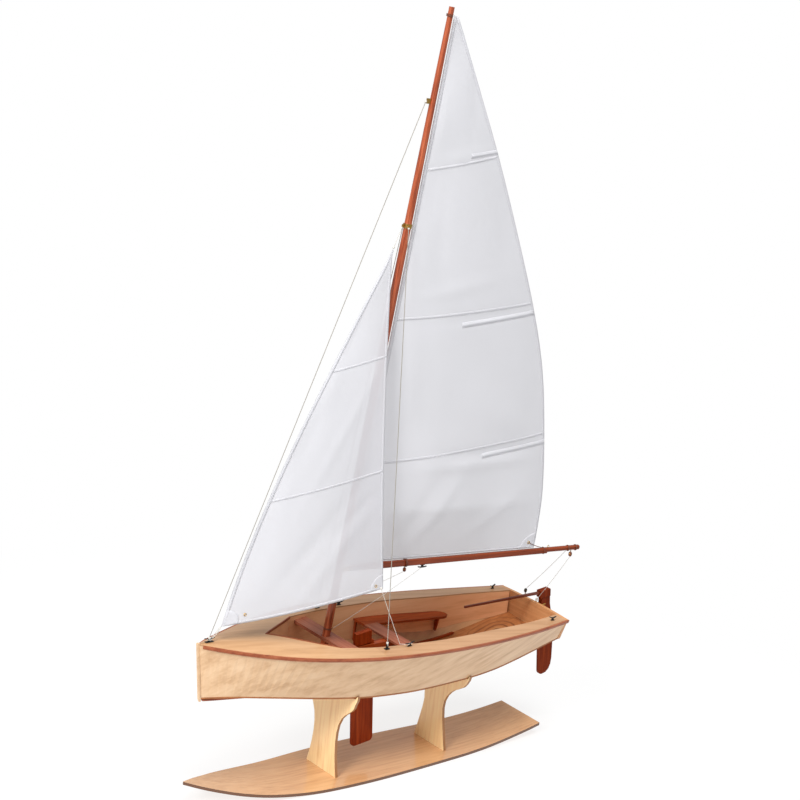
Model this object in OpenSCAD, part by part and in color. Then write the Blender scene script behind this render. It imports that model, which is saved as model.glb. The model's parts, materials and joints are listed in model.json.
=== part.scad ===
// Sailing dinghy display model on a plywood stand.
// Millimetres. +X to the bow, +Y to port, +Z up. Origin on the underside of
// the base board, below the middle of the hull.

/* [Stand] */
// thickness of the base board
base_t = 3; // [2:0.5:5]
// how far the bow end of the base board lifts
base_rise = 13; // [4:1:16]
// thickness of each leg plate
leg_t = 3; // [2:0.5:4]

/* [Hull] */
// thickness of the side panels
side_t = 1.6; // [1.2:0.1:2]
// thickness of the bottom panel
bottom_t = 1.6; // [1.2:0.1:2]
// thickness of the deck sheet
deck_t = 1.2; // [1:0.1:1.6]
// width of the rubbing strake
strake_w = 1.8; // [1:0.1:2.4]
// height of the rubbing strake
strake_h = 3.4; // [2.5:0.1:4]
// thickness of the thwarts and benches
seat_t = 2.2; // [1.6:0.1:3]

/* [Rig] */
// how far the mast leans aft, degrees
rake = 6.24; // [5.5:0.02:7]
// length of the mast
mast_l = 649; // [640:1:660]
// angle of the boom to port of the centreline, degrees
boom_out = 9; // [0:1:20]
// length of the boom from its pin
boom_l = 267; // [240:1:275]
// radius of the stays
stay_r = 0.35; // [0.3:0.05:0.6]
// depth of the curve of the sails, part of the chord
camber = 0.05; // [0:0.01:0.08]
// thickness of the sails
sail_t = 0.7; // [0.5:0.1:1]

/* [Foils] */
// thickness of the daggerboard
board_t = 2.4; // [2:0.1:2.6]
// thickness of the rudder blade
blade_t = 2.6; // [2:0.1:3]

/* [Hidden] */
$fn = 32;
g = 0.02;

// ------------------------------------------------------------ curves
// half breadth of the hull at the sheer
sheer_y = [[-202, 48.6], [-161, 57.3], [-119, 64.2], [-78, 69.2], [-36, 71.8],
           [5, 71.5], [47, 67.6], [88, 59.2], [130, 45.4], [172, 25.2], [213, 1.2]];
// height of the sheer
sheer_z = [[-202, 132.4], [-161, 133.6], [-119, 135.5], [-78, 137.7], [-36, 140],
           [5, 142.1], [47, 144.3], [88, 146.7], [130, 149.6], [172, 153.8], [213, 159.6]];
// half breadth of the hull at the chine
chine_y = [[-204, 39], [-171, 41.2], [-114, 43.8], [-80, 45], [-16, 46], [24, 43.6],
           [52, 40.5], [98, 34], [146, 24], [180, 12.8], [206, 1.2]];
// height of the lower edge of the chine
chine_z = [[-204, 108.6], [-171, 102.2], [-140, 96], [-114, 91.8], [-80, 89.4],
           [-16, 89], [24, 90.3], [52, 92], [98, 97.5], [146, 103.3], [180, 105.6], [206, 104.9]];
// how far the keel lies below the chine
vee = [[-204, 3], [-160, 6], [-114, 8], [-16, 9], [52, 9.5], [98, 9], [146, 7], [183, 4.5], [206, 0.6]];
// height of the deck on the centreline above the sheer
crown = [[-202, 1.5], [-100, 2], [0, 2.6], [80, 4], [136, 6.5], [180, 4], [213, 0.3]];
// half breadth of the cockpit opening
well_y = [[-202, 34.4], [-153, 42.3], [-105, 46.5], [-41, 52], [2, 51.5], [34, 49.5],
          [52, 47.2], [80, 41]];
// where the cockpit narrows and where it comes to its point
well_corner = 80;
well_apex = 139;

function idx(p, x, i = 0) = (i >= len(p) - 2 || x < p[i + 1][0]) ? i : idx(p, x, i + 1);
function slope(p, i) =
    i == 0 ? (p[1][1] - p[0][1]) / (p[1][0] - p[0][0]) :
    i == len(p) - 1 ? (p[i][1] - p[i - 1][1]) / (p[i][0] - p[i - 1][0]) :
    (p[i + 1][1] - p[i - 1][1]) / (p[i + 1][0] - p[i - 1][0]);
function spl(p, x) =
    let (i = idx(p, x), h = p[i + 1][0] - p[i][0], t = (x - p[i][0]) / h)
    (2*t*t*t - 3*t*t + 1) * p[i][1] + (t*t*t - 2*t*t + t) * h * slope(p, i)
    + (3*t*t - 2*t*t*t) * p[i + 1][1] + (t*t*t - t*t) * h * slope(p, i + 1);

// hull sections stand upright amidships and lean with the stem and transom
x_bow = 205.4;
x_aft = -198;
function xs(x) = x + 7 * pow(max(0, (x - 145.4) / 60), 2);
function xc(x) = x - 2 * max(0, (-150 - x) / 48);
function hy(x) = spl(sheer_y, x);
function sz(x) = spl(sheer_z, x);
function cy(x) = spl(chine_y, x);
function cz(x) = spl(chine_z, x) + bottom_t;
function dead(x) = spl(vee, x) / cy(x);
function deck(x, y) = sz(x) + spl(crown, x) * (1 - pow(y / hy(x), 2));
function wy(x) = x <= well_corner ? spl(well_y, x)
    : wy(well_corner) * (well_apex - x) / (well_apex - well_corner);
// breadth used up by a side panel of the given thickness
function skin(x, t) =
    let (a = (hy(x + 1) - hy(x - 1)) / 2, b = (hy(x) - cy(x)) / (sz(x) - cz(x)))
    t * sqrt(1 + a * a + b * b);
// outer face of the side panel at a height
function side_y(x, z) = cy(x) + (hy(x) - cy(x)) * (z - cz(x)) / (sz(x) - deck_t - cz(x));
// height of the inner face of the hull at a breadth
function in_z(x, y) =
    let (s = skin(x, side_t), yc = cy(x) - s)
    y <= yc ? cz(x) - (cy(x) - y) * dead(x)
            : cz(x) - s * dead(x) + (y - yc) * (sz(x) - deck_t - cz(x)) / (hy(x) - cy(x));

// ------------------------------------------------------------ builders
function flat(a) = [for (r = a) for (p = r) p];
// closed sheet between two matching grids of points
module sheet(A, B) {
    n = len(A); m = len(A[0]); k = n * m;
    polyhedron(points = concat(flat(A), flat(B)), faces = concat(
        [for (i = [0:n-2]) for (j = [0:m-2]) [i*m+j, i*m+j+1, (i+1)*m+j+1]],
        [for (i = [0:n-2]) for (j = [0:m-2]) [i*m+j, (i+1)*m+j+1, (i+1)*m+j]],
        [for (i = [0:n-2]) for (j = [0:m-2]) [k+i*m+j, k+(i+1)*m+j+1, k+i*m+j+1]],
        [for (i = [0:n-2]) for (j = [0:m-2]) [k+i*m+j, k+(i+1)*m+j, k+(i+1)*m+j+1]],
        [for (i = [0:n-2]) [i*m, (i+1)*m, k+(i+1)*m]],
        [for (i = [0:n-2]) [i*m, k+(i+1)*m, k+i*m]],
        [for (i = [0:n-2]) [i*m+m-1, k+(i+1)*m+m-1, (i+1)*m+m-1]],
        [for (i = [0:n-2]) [i*m+m-1, k+i*m+m-1, k+(i+1)*m+m-1]],
        [for (j = [0:m-2]) [j, k+j+1, j+1]],
        [for (j = [0:m-2]) [j, k+j, k+j+1]],
        [for (j = [0:m-2]) [(n-1)*m+j, (n-1)*m+j+1, k+(n-1)*m+j+1]],
        [for (j = [0:m-2]) [(n-1)*m+j, k+(n-1)*m+j+1, k+(n-1)*m+j]]));
}
module stbd() mirror([0, 1, 0]) children();
module rod(a, b, r, fn = 12) {
    d = b - a; l = norm(d);
    translate(a) rotate([0, acos(d[2] / l), atan2(d[1], d[0])]) cylinder(h = l, r = r, $fn = fn);
}
function steps(a, b, n) = [for (i = [0:n]) a + (b - a) * i / n];
module rrect(w, h, r, fn = 16) {
    for (q = [0]) offset(r = r, $fn = fn) square([w - 2*r, h - 2*r], center = true);
}

// ------------------------------------------------------------ stand
function lift(x) = x > 72 ? base_rise * pow((x - 72) / 113, 2)
                 : x < -88 ? 6.6 * pow((-88 - x) / 97, 2) : 0;
base_y = [[-201, 29.5], [-160, 32.4], [-130, 34.9], [-100, 36.9], [-70, 38.6], [-40, 40],
          [-10, 41.2], [20, 41.7], [50, 41], [80, 39], [110, 35.6], [140, 30.9],
          [165, 24.4], [185, 16.6], [200, 9.8], [216, 0.5]];
module base_board() color([0.80, 0.62, 0.45])
    intersection() {
        rotate([90, 0, 0]) linear_extrude(height = 110, center = true) polygon(concat(
            [for (x = steps(-201, -88, 10)) [x, lift(x)]],
            [for (x = steps(72, 216, 14)) [x, lift(x)]],
            [for (x = steps(216, 72, 14)) [x, lift(x) + base_t]],
            [for (x = steps(-88, -201, 10)) [x, lift(x) + base_t]]));
        translate([0, 0, -1]) linear_extrude(height = 60) polygon(concat(
            [for (x = steps(-201, 216, 64)) [x, spl(base_y, x)]],
            [for (x = steps(216, -201, 64)) [x, -spl(base_y, x)]]));
    }

x_leg = [54, -81];
leg_f = [[23, 3], [20.3, 13], [18.2, 25], [17, 37], [17.2, 47], [18.8, 56], [22.4, 64],
         [27, 69.4], [31.6, 73.4], [36, 77.3], [38.7, 81], [40.4, 86], [42.6, 90.4], [43, 94.4], [41.6, 94.6]];
leg_r = [[23.2, 3], [20.4, 13], [17.6, 25], [15.2, 36], [14.1, 45], [15, 53], [18.2, 60],
         [22.6, 65.4], [27.2, 69.4], [33, 73], [39.6, 77.6], [43.6, 82.4], [46.4, 87.6], [47.6, 92], [46.2, 92.2]];
module leg(x, p) color([0.88, 0.70, 0.46])
    translate([x, 0, 0]) rotate([90, 0, 90]) linear_extrude(height = leg_t, center = true)
        let (z0 = cz(x) - bottom_t - 0.3, q = cy(x) + 0.3, v = dead(x),
             half = concat(p, [[q + 0.4, z0 + 0.9], [q, z0 - 0.2], [2.2, z0 - (q - 2.2) * v], [2.2, z0 - q * v - 1.9]]),
             n = len(half))
        polygon([for (i = [0:2*n-1]) i < n ? [half[i][0], half[i][1] + (i == 0 ? base_t - 3 + g : 0)]
                 : [-half[2*n-1-i][0], half[2*n-1-i][1] + (i == 2*n-1 ? base_t - 3 + g : 0)]]);

// ------------------------------------------------------------ hull
hull_x = concat(steps(x_aft, 140, 38), steps(147, x_bow, 9));
module side_panel() color([0.90, 0.77, 0.61])
    sheet([for (x = hull_x) [[xs(x), hy(xs(x)), sz(xs(x)) - deck_t - g], [xc(x), cy(xc(x)), cz(xc(x))]]],
          [for (x = hull_x)
              let (a = xs(x), b = xc(x), s = skin(min(x, 200), side_t))
              [[a, max(g, hy(a) - s), sz(a) - deck_t - g],
               [b, max(g, cy(b) - s), cz(b) - min(s, cy(b) - g) * dead(b)]]]);
module bottom_panel() color([0.88, 0.75, 0.58])
    difference() {
        sheet([for (x = hull_x) let (b = xc(x), z = cz(b) - g)
                   [[b, -cy(b), z], [b, 0, z - cy(b) * dead(b)], [b, cy(b), z]]],
              [for (x = hull_x) let (b = xc(x), z = cz(b) - bottom_t)
                   [[b, -cy(b), z], [b, 0, z - cy(b) * dead(b)], [b, cy(b), z]]]);
        board_slot();
    }
// space above the bottom panel, used to trim what stands on it
module above_bottom()
    sheet([for (x = hull_x) let (b = xc(x)) [[b, -cy(b), 200], [b, 0, 200], [b, cy(b), 200]]],
          [for (x = hull_x) let (b = xc(x), z = cz(b) + g)
               [[b, -cy(b), z], [b, 0, z - cy(b) * dead(b)], [b, cy(b), z]]]);
// thin wall with a sloping foot, x ascending, y on its inboard face
module lining() color([0.82, 0.62, 0.45])
    let (xx = concat(steps(x_aft + 0.4, well_corner, 30), steps(87, well_apex - 0.8, 7)))
    sheet([for (x = xx) let (y = wy(x) + 1.2) [[x, y, deck(x, y) - deck_t - 2 * g], [x, y, in_z(x, y) + 0.3]]],
          [for (x = xx) let (y = wy(x)) [[x, y, deck(x, y) - deck_t - 2 * g], [x, y, in_z(x, y) + 0.3]]]);
// batten along the inside of the chine, its ends rounded
module stringer() color([0.50, 0.24, 0.15])
    let (x0 = -131, x1 = 60, r = 2.2)
    sheet([for (x = concat([x0, x0 + 0.6], steps(x0 + 2, x1 - 2, 24), [x1 - 0.6, x1]))
              let (e = min(1, sqrt(max(0.15, min(x - x0, x1 - x) / 2))), y = cy(x) - 3.4, z = in_z(x, y - r) + 1.35 - 0.6 * e)
              [[x, y - r * e * 0.5 - r * 0.5, z + r * e], [x, y, z + r * e]]],
          [for (x = concat([x0, x0 + 0.6], steps(x0 + 2, x1 - 2, 24), [x1 - 0.6, x1]))
              let (e = min(1, sqrt(max(0.15, min(x - x0, x1 - x) / 2))), y = cy(x) - 3.4, z = in_z(x, y - r) + 1.35 - 0.6 * e)
              [[x, y - r * e * 0.5 - r * 0.5, z], [x, y, z]]]);

transom_t = 3.2;
function tx(z) = x_aft - (132.4 - z) * 0.087;
module transom_board() color([0.88, 0.74, 0.56])
    let (yy = steps(-1, 1, 10), c = xc(x_aft), h = hy(x_aft), z1 = cz(c) - bottom_t, k = cy(c),
         pts = concat([for (v = yy) [v * h, deck(x_aft, v * h)]],
                      [[k, z1], [0, z1 - k * dead(c)], [-k, z1]]), n = len(pts))
    polyhedron(points = concat([for (p = pts) [tx(p[1]) - g, p[0], p[1]]],
                               [for (p = pts) [tx(p[1]) - transom_t, p[0], p[1]]]),
        faces = concat([[for (i = [0:n-1]) i]], [[for (i = [n-1:-1:0]) n + i]],
                       [for (i = [0:n-1]) [i, n + i, n + (i+1) % n, (i+1) % n]]));

module stem_post() color([0.92, 0.80, 0.62])
    rotate([90, 0, 0]) linear_extrude(height = 2.4, center = true)
        polygon([[205.5, 102.6], [212.6, 159.9], [212.6, 160.8], [214.6, 160.8], [214.9, 160],
                 [207.9, 104.6], [206.9, 102.2]]);
module keel_strip() color([0.55, 0.32, 0.20])
    difference() {
        union() for (r = [[-150, -12], [36, 203.6]])
            sheet([for (x = steps(r[0], r[1], 14)) let (z = cz(x) - bottom_t - cy(x) * dead(x) - g)
                       [[x, -1.5, z], [x, 1.5, z]]],
                  [for (x = steps(r[0], r[1], 14)) let (z = cz(x) - bottom_t - cy(x) * dead(x) - 1.5)
                       [[x, -1.5, z], [x, 1.5, z]]]);
    }

x_split = 46;
module deck_sheet(xx, y0, n)
    sheet([for (x = xx) [for (v = steps(0, 1, n)) let (y = y0(x) + (hy(x) - y0(x)) * v) [x, y, deck(x, y)]]],
          [for (x = xx) [for (v = steps(0, 1, n)) let (y = y0(x) + (hy(x) - y0(x)) * v) [x, y, deck(x, y) - deck_t]]]);
module side_deck() color([0.91, 0.79, 0.62])
    deck_sheet(steps(x_aft, x_split - g, 26), function (x) wy(x), 4);
module foredeck() color([0.92, 0.80, 0.62])
    difference() {
        deck_sheet(concat(steps(x_split, 130, 12), steps(138, 212.2, 12)), function (x) -hy(x), 14);
        translate([0, 0, 100]) linear_extrude(height = 80) polygon(concat(
            [[well_apex, 0], [80, wy(80)]], [for (x = [70, 60, 52, x_split - 1]) [x, wy(x)]],
            [for (x = [x_split - 1, 52, 60, 70]) [x, -wy(x)]], [[80, -wy(80)]]));
    }
module strake() color([0.62, 0.34, 0.22])
    let (xx = concat(steps(x_aft - 3.8, 150, 40), steps(156, 210, 10)), e0 = 0.07)
    sheet([for (x = xx) let (e = min(1, 0.4 + (210 - x) / 18) * strake_w, z = sz(x) - 0.1, h = hy(x),
                             u = min(x, 200), m = (hy(u) - cy(u)) / (sz(u) - deck_t - cz(u)))
               [[x, h + e, z], [x, h + e, z - strake_h * 0.4], [x, h + e - m * strake_h * 0.5, z - strake_h]]],
          [for (x = xx) let (z = sz(x) - 0.1, h = hy(x), e = e0 + max(0, (x - 170) / 35) * 0.1,
                             u = min(x, 200), m = (hy(u) - cy(u)) / (sz(u) - deck_t - cz(u)))
               [[x, h + e, z], [x, h + e, z + 0.1 - deck_t], [x, h + e - m * (strake_h - deck_t), z - strake_h]]]);
// edging of the pointed end of the cockpit
module coaming() color([0.58, 0.28, 0.18])
    let (a = [well_apex - 0.8, 0.58], b = [well_corner, wy(well_corner)], d = (b - a) / norm(b - a), n = [-d[1], d[0]] * -1, t = 1)
    intersection() {
        sheet([for (u = steps(0, 1, 10)) let (p = a + (b - a) * u - n * g, z = deck(p[0], p[1]))
                   [[p[0], p[1], z + 0.5], [p[0], p[1], z - 2]]],
              [for (u = steps(0, 1, 10)) let (p = a + (b - a) * u, q = p - n * t, z = deck(p[0], p[1]))
                   [[q[0], q[1], z + 0.5], [q[0], q[1], z - 2]]]);
        translate([60, g, 100]) cube([90, 60, 80]);
    }

// ------------------------------------------------------------ cockpit
bench_z = 128;
bench_slope = 4;
module mast_thwart() color([0.72, 0.48, 0.42])
    difference() {
        translate([0, 0, 142.8 - 3]) linear_extrude(height = 3) polygon(concat(
            [for (x = steps(56.4, 72.4, 3)) [x, wy(x) - 0.2]], [for (x = steps(72.4, 56.4, 3)) [x, -wy(x) + 0.2]]));
        translate([62.7, -3.4, 130]) cube([8, 6.8, 20]);
    }
module centre_thwart() color([0.72, 0.48, 0.42])
    translate([-23.4, -33.2, bench_z - seat_t]) cube([16, 66.4, seat_t]);
module bench() color([0.60, 0.30, 0.20])
    translate([-8, 0, bench_z]) rotate([0, -bench_slope, 0]) translate([8, 0, -seat_t])
        linear_extrude(height = seat_t) polygon(concat(
            [for (x = steps(-8, -108, 10)) [x, wy(x) - 0.4]],
            [[-113.6, 43], [-116, 38.6], [-115.6, 34.6], [-112, 31.4], [-108, 30], [-24, 33.4], [-8, 33.4]]));
function bench_under(x) = bench_z - seat_t + (x + 8) * tan(bench_slope);
module bench_leg_front() translate([-11, 0, 0]) rotate([90, 0, 90]) linear_extrude(height = 2) polygon([
        [51.2, bench_under(-10) - 0.25], [49, bench_under(-10) - 0.25], [49, 104], [51.2, 105.6]]);
module bench_leg_aft() translate([-110, 0, 0]) rotate([90, 0, 90]) linear_extrude(height = 2) polygon([
        [45.2, bench_under(-109) - 0.3], [38.4, bench_under(-109) - 0.3], [42.6, 100.8], [44.8, 101.6]]);
module bench_legs() color([0.45, 0.20, 0.13]) {
    bench_leg_front(); bench_leg_aft();
    stbd() { bench_leg_front(); bench_leg_aft(); }
}
module mast_step() color([0.62, 0.38, 0.26])
    intersection() {
        difference() {
            translate([62, -6, 76]) cube([22, 12, 16.6]);
            rig() translate([0, 0, 9.8]) cube([7.3, 6.3, 20], center = true);
        }
        above_bottom();
    }
cut = 6.6;
board_x = 9;
module foil() translate([board_x, 0, 24]) rotate([0, cut, 0]) children();
module board_slot() foil() translate([0, 0, 70]) cube([27.6, board_t + 0.8, 100], center = true);
module daggerboard_case() color([0.52, 0.22, 0.14])
    intersection() {
        difference() {
            translate([-22, -4, 74]) cube([60.5, 8, 125.4 - 74]);
            board_slot();
        }
        above_bottom();
    }

// ------------------------------------------------------------ daggerboard
module daggerboard() color([0.52, 0.18, 0.10])
    foil() {
        rotate([90, 0, 0]) linear_extrude(height = board_t, center = true) polygon(concat(
            [[-12.9, 104], [-12.9, 2]],
            [for (a = [180:15:270]) [-8.9 + 4 * cos(a), 0 + 4 * sin(a)]],
            [for (a = [270:15:360]) [8.4 + 4.5 * cos(a), 0.5 + 4.5 * sin(a)]],
            [[12.9, 104]]));
        translate([-8.8, -3, 103.6]) cube([17.6, 6, 12.2]);
    }

// ------------------------------------------------------------ rudder
tilt = 5;
rud_x = tx(132.4) - transom_t - 3.8;
module rud() translate([rud_x, 0, 132.4]) rotate([0, tilt, 0]) children();
module rudder_head() color([0.50, 0.18, 0.11])
    rud() difference() {
        union() {
            rotate([90, 0, 0]) linear_extrude(height = 7, center = true)
                polygon([[-0.8, 4.6], [-0.6, 12], [-13.2, 12.4], [-13.6, 4.6]]);
            for (s = [-1, 1]) translate([0, s * (blade_t / 2 + 0.75), 0]) rotate([90, 0, 0])
                linear_extrude(height = 1.4, center = true)
                    polygon([[-3, 5.6], [-3, -22], [-5, -24.5], [-12, -24.5], [-15.2, -20], [-13.6, 5.6]]);
        }
        translate([-10.9, 0, 8.8]) rotate([0, 90 - tilt - 0.5, 0]) translate([-1.35, -1.25, -0.05]) cube([2.7, 2.5, 40]);
        translate([-40, -blade_t / 2 - 0.02, -40]) cube([60, blade_t + 0.04, 44.5]);
    }
module rudder_blade() color([0.52, 0.18, 0.10])
    rud() rotate([90, 0, 0]) linear_extrude(height = blade_t, center = true) polygon(concat(
            [[-3.2, 4.4], [-3.2, -30], [-3.6, -52], [-4.8, -72]],
            [for (a = [0:15:90]) [-10.8 + 5.6 * cos(a), -78 - 5.4 * sin(a)]],
            [[-15.8, -82.6], [-19.6, -79.6], [-21.8, -75], [-22.8, -68], [-22.6, -48], [-19.4, -22], [-13.5, 4.4]]));
module tiller() color([0.45, 0.20, 0.12])
    rud() translate([-10.9, 0, 8.8]) rotate([0, 90 - tilt - 0.5, 0])
        linear_extrude(height = 110, scale = [0.72, 0.8], slices = 1) square([2.6, 2.4], center = true);
module pintles() color([0.75, 0.62, 0.35])
    rud() for (z = [-4.5, -18]) translate([0, 0, z]) {
        translate([0, 0, -1.3]) cylinder(r = 0.75, h = 4);
        translate([0, 0, 1.35]) cylinder(r = 1.5, h = 0.8);
        difference() {
            translate([-7.5, -blade_t / 2 - 2, 1.35]) cube([7.5, blade_t + 4, 0.8]);
            translate([-20, -blade_t / 2 - 1.5, 0]) cube([17.1, blade_t + 3, 3]);
        }
    }
module gudgeons() color([0.75, 0.62, 0.35])
    rud() for (z = [-4.5, -18]) translate([0, 0, z]) difference() {
        union() {
            translate([0, 0, -1.1]) cylinder(r = 1.7, h = 2.2);
            translate([0, -1.1, -1.1]) cube([6, 2.2, 2.2]);
            translate([2.9, -5, -1.1]) cube([3, 10, 2.2]);
        }
        translate([0, 0, -3]) cylinder(r = 0.83, h = 6);
        translate([0, 0, -z]) rud_inv() transom_space();
    }
module rud_inv() rotate([0, -tilt, 0]) translate([-rud_x, 0, -132.4]) children();
module transom_space() translate([0, 0, 0]) rotate([90, 0, 0]) linear_extrude(height = 200, center = true)
    polygon([[tx(150) - transom_t - g, 150], [tx(80) - transom_t - g, 80], [0, 80], [0, 150]]);

// ------------------------------------------------------------ rig
foot_x = 72.56;
foot_z = 88.2;
pin_x = -5.6;
pin_z = 121.1;
module rig() translate([foot_x, 0, foot_z]) rotate([0, -rake, 0]) children();
module swing() rig() translate([pin_x, 0, pin_z]) rotate([0, 0, -boom_out]) children();
function on_mast(z, dx = 0) = [foot_x - z * sin(rake) + dx * cos(rake), 0, foot_z + z * cos(rake) + dx * sin(rake)];

module mast() color([0.60, 0.26, 0.13])
    rig() {
        linear_extrude(height = 388) rrect(7, 6, 2);
        translate([-3.5, 0, 388]) linear_extrude(height = mast_l - 388, scale = [0.64, 0.7], slices = 1) translate([3.5, 0]) rrect(7, 6, 2);
    }
band_z = 447.8;
module mast_band() color([0.80, 0.66, 0.36])
    rig() translate([-3.5, 0, band_z]) {
        difference() {
            translate([3.5, 0, 0]) linear_extrude(height = 4) rrect(7.8, 6.8, 2.3);
            translate([3.35, 0, -1]) linear_extrude(height = 6) rrect(6.75, 5.76, 1.9);
        }
        for (s = [-1, 1]) translate([5.1, s * 3.2, 2]) rotate([s * -90, 0, 0]) cylinder(r = 0.7, h = 1.5, $fn = 16);
        translate([6.6, -0.4, 0.8]) cube([3.4, 0.8, 2.4]);
    }
stay_top = 563.8;
module stay_tang() color([0.75, 0.62, 0.35])
    rig() translate([0, 0, stay_top]) {
        translate([2.05, -0.5, -2.4]) cube([4.6, 1, 4.8]);
    }
tack = [190, 0, 171.6];
bow_x = 201.5;
module forestay() color([0.85, 0.85, 0.82]) rod([bow_x, 0, deck(bow_x, 0) + 5], on_mast(stay_top, 7.2), stay_r);
shroud_foot = [37, 54.5];
module shroud() color([0.85, 0.85, 0.82])
    rod([shroud_foot[0], shroud_foot[1], deck(shroud_foot[0], shroud_foot[1]) + 5.2], on_mast(band_z + 0.7, 1.6) + [0, 4.2, 0], stay_r);
module chainplates() color([0.20, 0.19, 0.18])
    for (s = [-1, 1]) let (z = deck(shroud_foot[0], shroud_foot[1]))
        translate([shroud_foot[0], s * shroud_foot[1], z + 0.3]) {
            translate([-2.4, -1.6, 0]) cube([4.8, 3.2, 0.6]);
            translate([-1.3, -0.45, 0.6]) cube([2.6, 0.9, 3.9]);
        }
module stem_fitting() color([0.09, 0.08, 0.08])
    translate([bow_x, 0, deck(bow_x, 0) + 0.3]) rotate([0, -atan((deck(bow_x + 4, 0) - deck(bow_x - 4, 0)) / 8), 0]) {
        horn(11);
        translate([-4.2, -1.4, 0]) cube([8.4, 2.8, 0.5]);
    }
module gooseneck() color([0.78, 0.64, 0.36])
    rig() translate([pin_x, 0, pin_z]) {
        for (z = [-3.6, 2.6]) translate([0, 0, z]) {
            cylinder(r = 1.5, h = 1);
            translate([0, -1.5, 0]) cube([2.04, 3, 1]);
        }
        translate([0, 0, -3.6]) cylinder(r = 0.75, h = 7.2);
        translate([1.62, -1.5, -3.6]) cube([0.42, 3, 7.2]);
    }
boom_up = 5.5;
module boom() color([0.60, 0.24, 0.12])
    swing() translate([0, 0, 0.6]) rotate([0, boom_up, 0]) mirror([1, 0, 0]) {
        translate([6, 0, 0]) rotate([0, 90, 0]) linear_extrude(height = 222, scale = [0.88, 0.9], slices = 1) rrect(6.4, 4.4, 1.1);
        translate([227.9, 0, 0.55]) rotate([0, 90, 0]) linear_extrude(height = boom_l - 228.9) rrect(4.4, 3.8, 1.1);
        translate([boom_l - 1.1, 0, 0.55]) rotate([0, 90, 0]) linear_extrude(height = 1.1, scale = 0.6, slices = 1) rrect(4.4, 3.8, 1.1);
    }
module boom_end() color([0.78, 0.64, 0.36])
    swing() difference() {
        union() {
            translate([0, 0, -2.4]) cylinder(r = 1.45, h = 4.8);
            translate([-6, -1.1, -2.2]) cube([5.4, 2.2, 4.6]);
        }
        translate([0, 0, -5]) cylinder(r = 0.83, h = 10);
        translate([0, 0, 0.6]) rotate([0, boom_up, 0]) translate([-30, -5, -5]) cube([24.02, 10, 10]);
    }

leech = [[24.6, 211], [53.5, 209.9], [84.6, 206.7], [139.4, 194.8], [202.4, 176.9], [259.1, 153.1],
         [335.7, 113.6], [403.5, 76], [460, 42], [520.8, 4.7]];
function msail(k, v, w) =
    let (tl = 4.8 + k * 516, te = 24.8 + k * 496, e = spl(leech, te),
         s = 0.3 + (e - 0.3) * v, t = tl + (te - tl) * v,
         c = camber * e * 4 * v * (1 - v) * (1.25 - 0.5 * v) * min(1, k / 0.1) * (1.1 - 0.4 * k))
    [-s, c + w, t];
module mainsail() color([0.90, 0.90, 0.92])
    swing() sheet([for (k = steps(0, 1, 26)) [for (v = steps(0, 1, 9)) msail(k, v, sail_t / 2)]],
                  [for (k = steps(0, 1, 26)) [for (v = steps(0, 1, 9)) msail(k, v, -sail_t / 2)]]);

jib_head = [38, 0, 514];
jib_clew = [35, 37, 197.6];
j1 = (jib_head - tack) / norm(jib_head - tack);
jn = cross(jib_clew - tack, j1) / norm(cross(jib_clew - tack, j1));
j2 = cross(j1, jn);
jl = norm(jib_head - tack);
js = (jib_clew - tack) * j1;
jw = (jib_clew - tack) * j2;
function jsail(k, v, w) =
    let (sl = k * jl, b = 4 * k * (1 - k) * 9 * (1.5 - k), se = js + k * (jl - js), we = jw * (1 - k) - 4 * k * (1 - k) * 3,
         s = sl + (se - sl) * v, ww = -b + (max(we, 1.6) + b) * v,
         c = camber * 1.1 * (we + b) * 4 * v * (1 - v) * (1.25 - 0.5 * v) * (1.1 - 0.6 * k))
    tack + j1 * s + j2 * ww + jn * (c + w);
module jib() color([0.90, 0.90, 0.92])
    sheet([for (k = steps(0.003, 1, 22)) [for (v = steps(0, 1, 8)) jsail(k, v, sail_t / 2)]],
          [for (k = steps(0.003, 1, 22)) [for (v = steps(0, 1, 8)) jsail(k, v, -sail_t / 2)]]);

// ------------------------------------------------------------ deck gear
module horn(l) {
    translate([-l * 0.22, -0.9, 0]) cube([l * 0.44, 1.8, 0.6]);
    translate([-l * 0.12, -0.6, 0.6]) cube([l * 0.24, 1.2, 1.6]);
    translate([0, 0, 2.2]) rotate([90, 0, 0]) linear_extrude(height = 1.3, center = true)
        polygon([[-l/2, 1.5], [-l/2 + 0.4, 1.9], [-l*0.12, 0.95], [l*0.12, 0.95], [l/2 - 0.4, 1.9], [l/2, 1.5],
                 [l*0.14, 0], [-l*0.14, 0]]);
}
module cleat(x, y, l, a = 0) translate([x, y, deck(x, y) + 0.12]) rotate([0, 0, a]) horn(l);
module deck_cleats() color([0.09, 0.08, 0.08]) {
    for (s = [-1, 1]) { cleat(10, s * 55, 11, s * 4); cleat(-183, s * 45.6, 8, s * -12); }
}

base_board();
leg(x_leg[0], leg_f);  // stand_leg_front
leg(x_leg[1], leg_r);  // stand_leg_rear
bottom_panel();
side_panel();  // side_panel_port
stbd() side_panel();  // side_panel_starboard
lining();  // cockpit_lining_port
stbd() lining();  // cockpit_lining_starboard
stringer();  // chine_stringer_port
stbd() stringer();  // chine_stringer_starboard
transom_board();
stem_post();
keel_strip();
foredeck();
side_deck();  // side_deck_port
stbd() side_deck();  // side_deck_starboard
strake();  // rubbing_strake_port
stbd() strake();  // rubbing_strake_starboard
coaming();  // coaming_port
stbd() coaming();  // coaming_starboard
mast_thwart();
centre_thwart();
bench();  // side_bench_port
stbd() bench();  // side_bench_starboard
bench_legs();
mast_step();
daggerboard_case();
daggerboard();
gudgeons();  // rudder_gudgeons
pintles();  // rudder_pintles
rudder_head();
rudder_blade();
tiller();
mast();
mast_band();
stay_tang();  // forestay_tang
forestay();
shroud();  // shroud_port
stbd() shroud();  // shroud_starboard
chainplates();
stem_fitting();  // stem_head_fitting
gooseneck();
boom();
boom_end();  // boom_end_fitting
mainsail();
jib();
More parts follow.
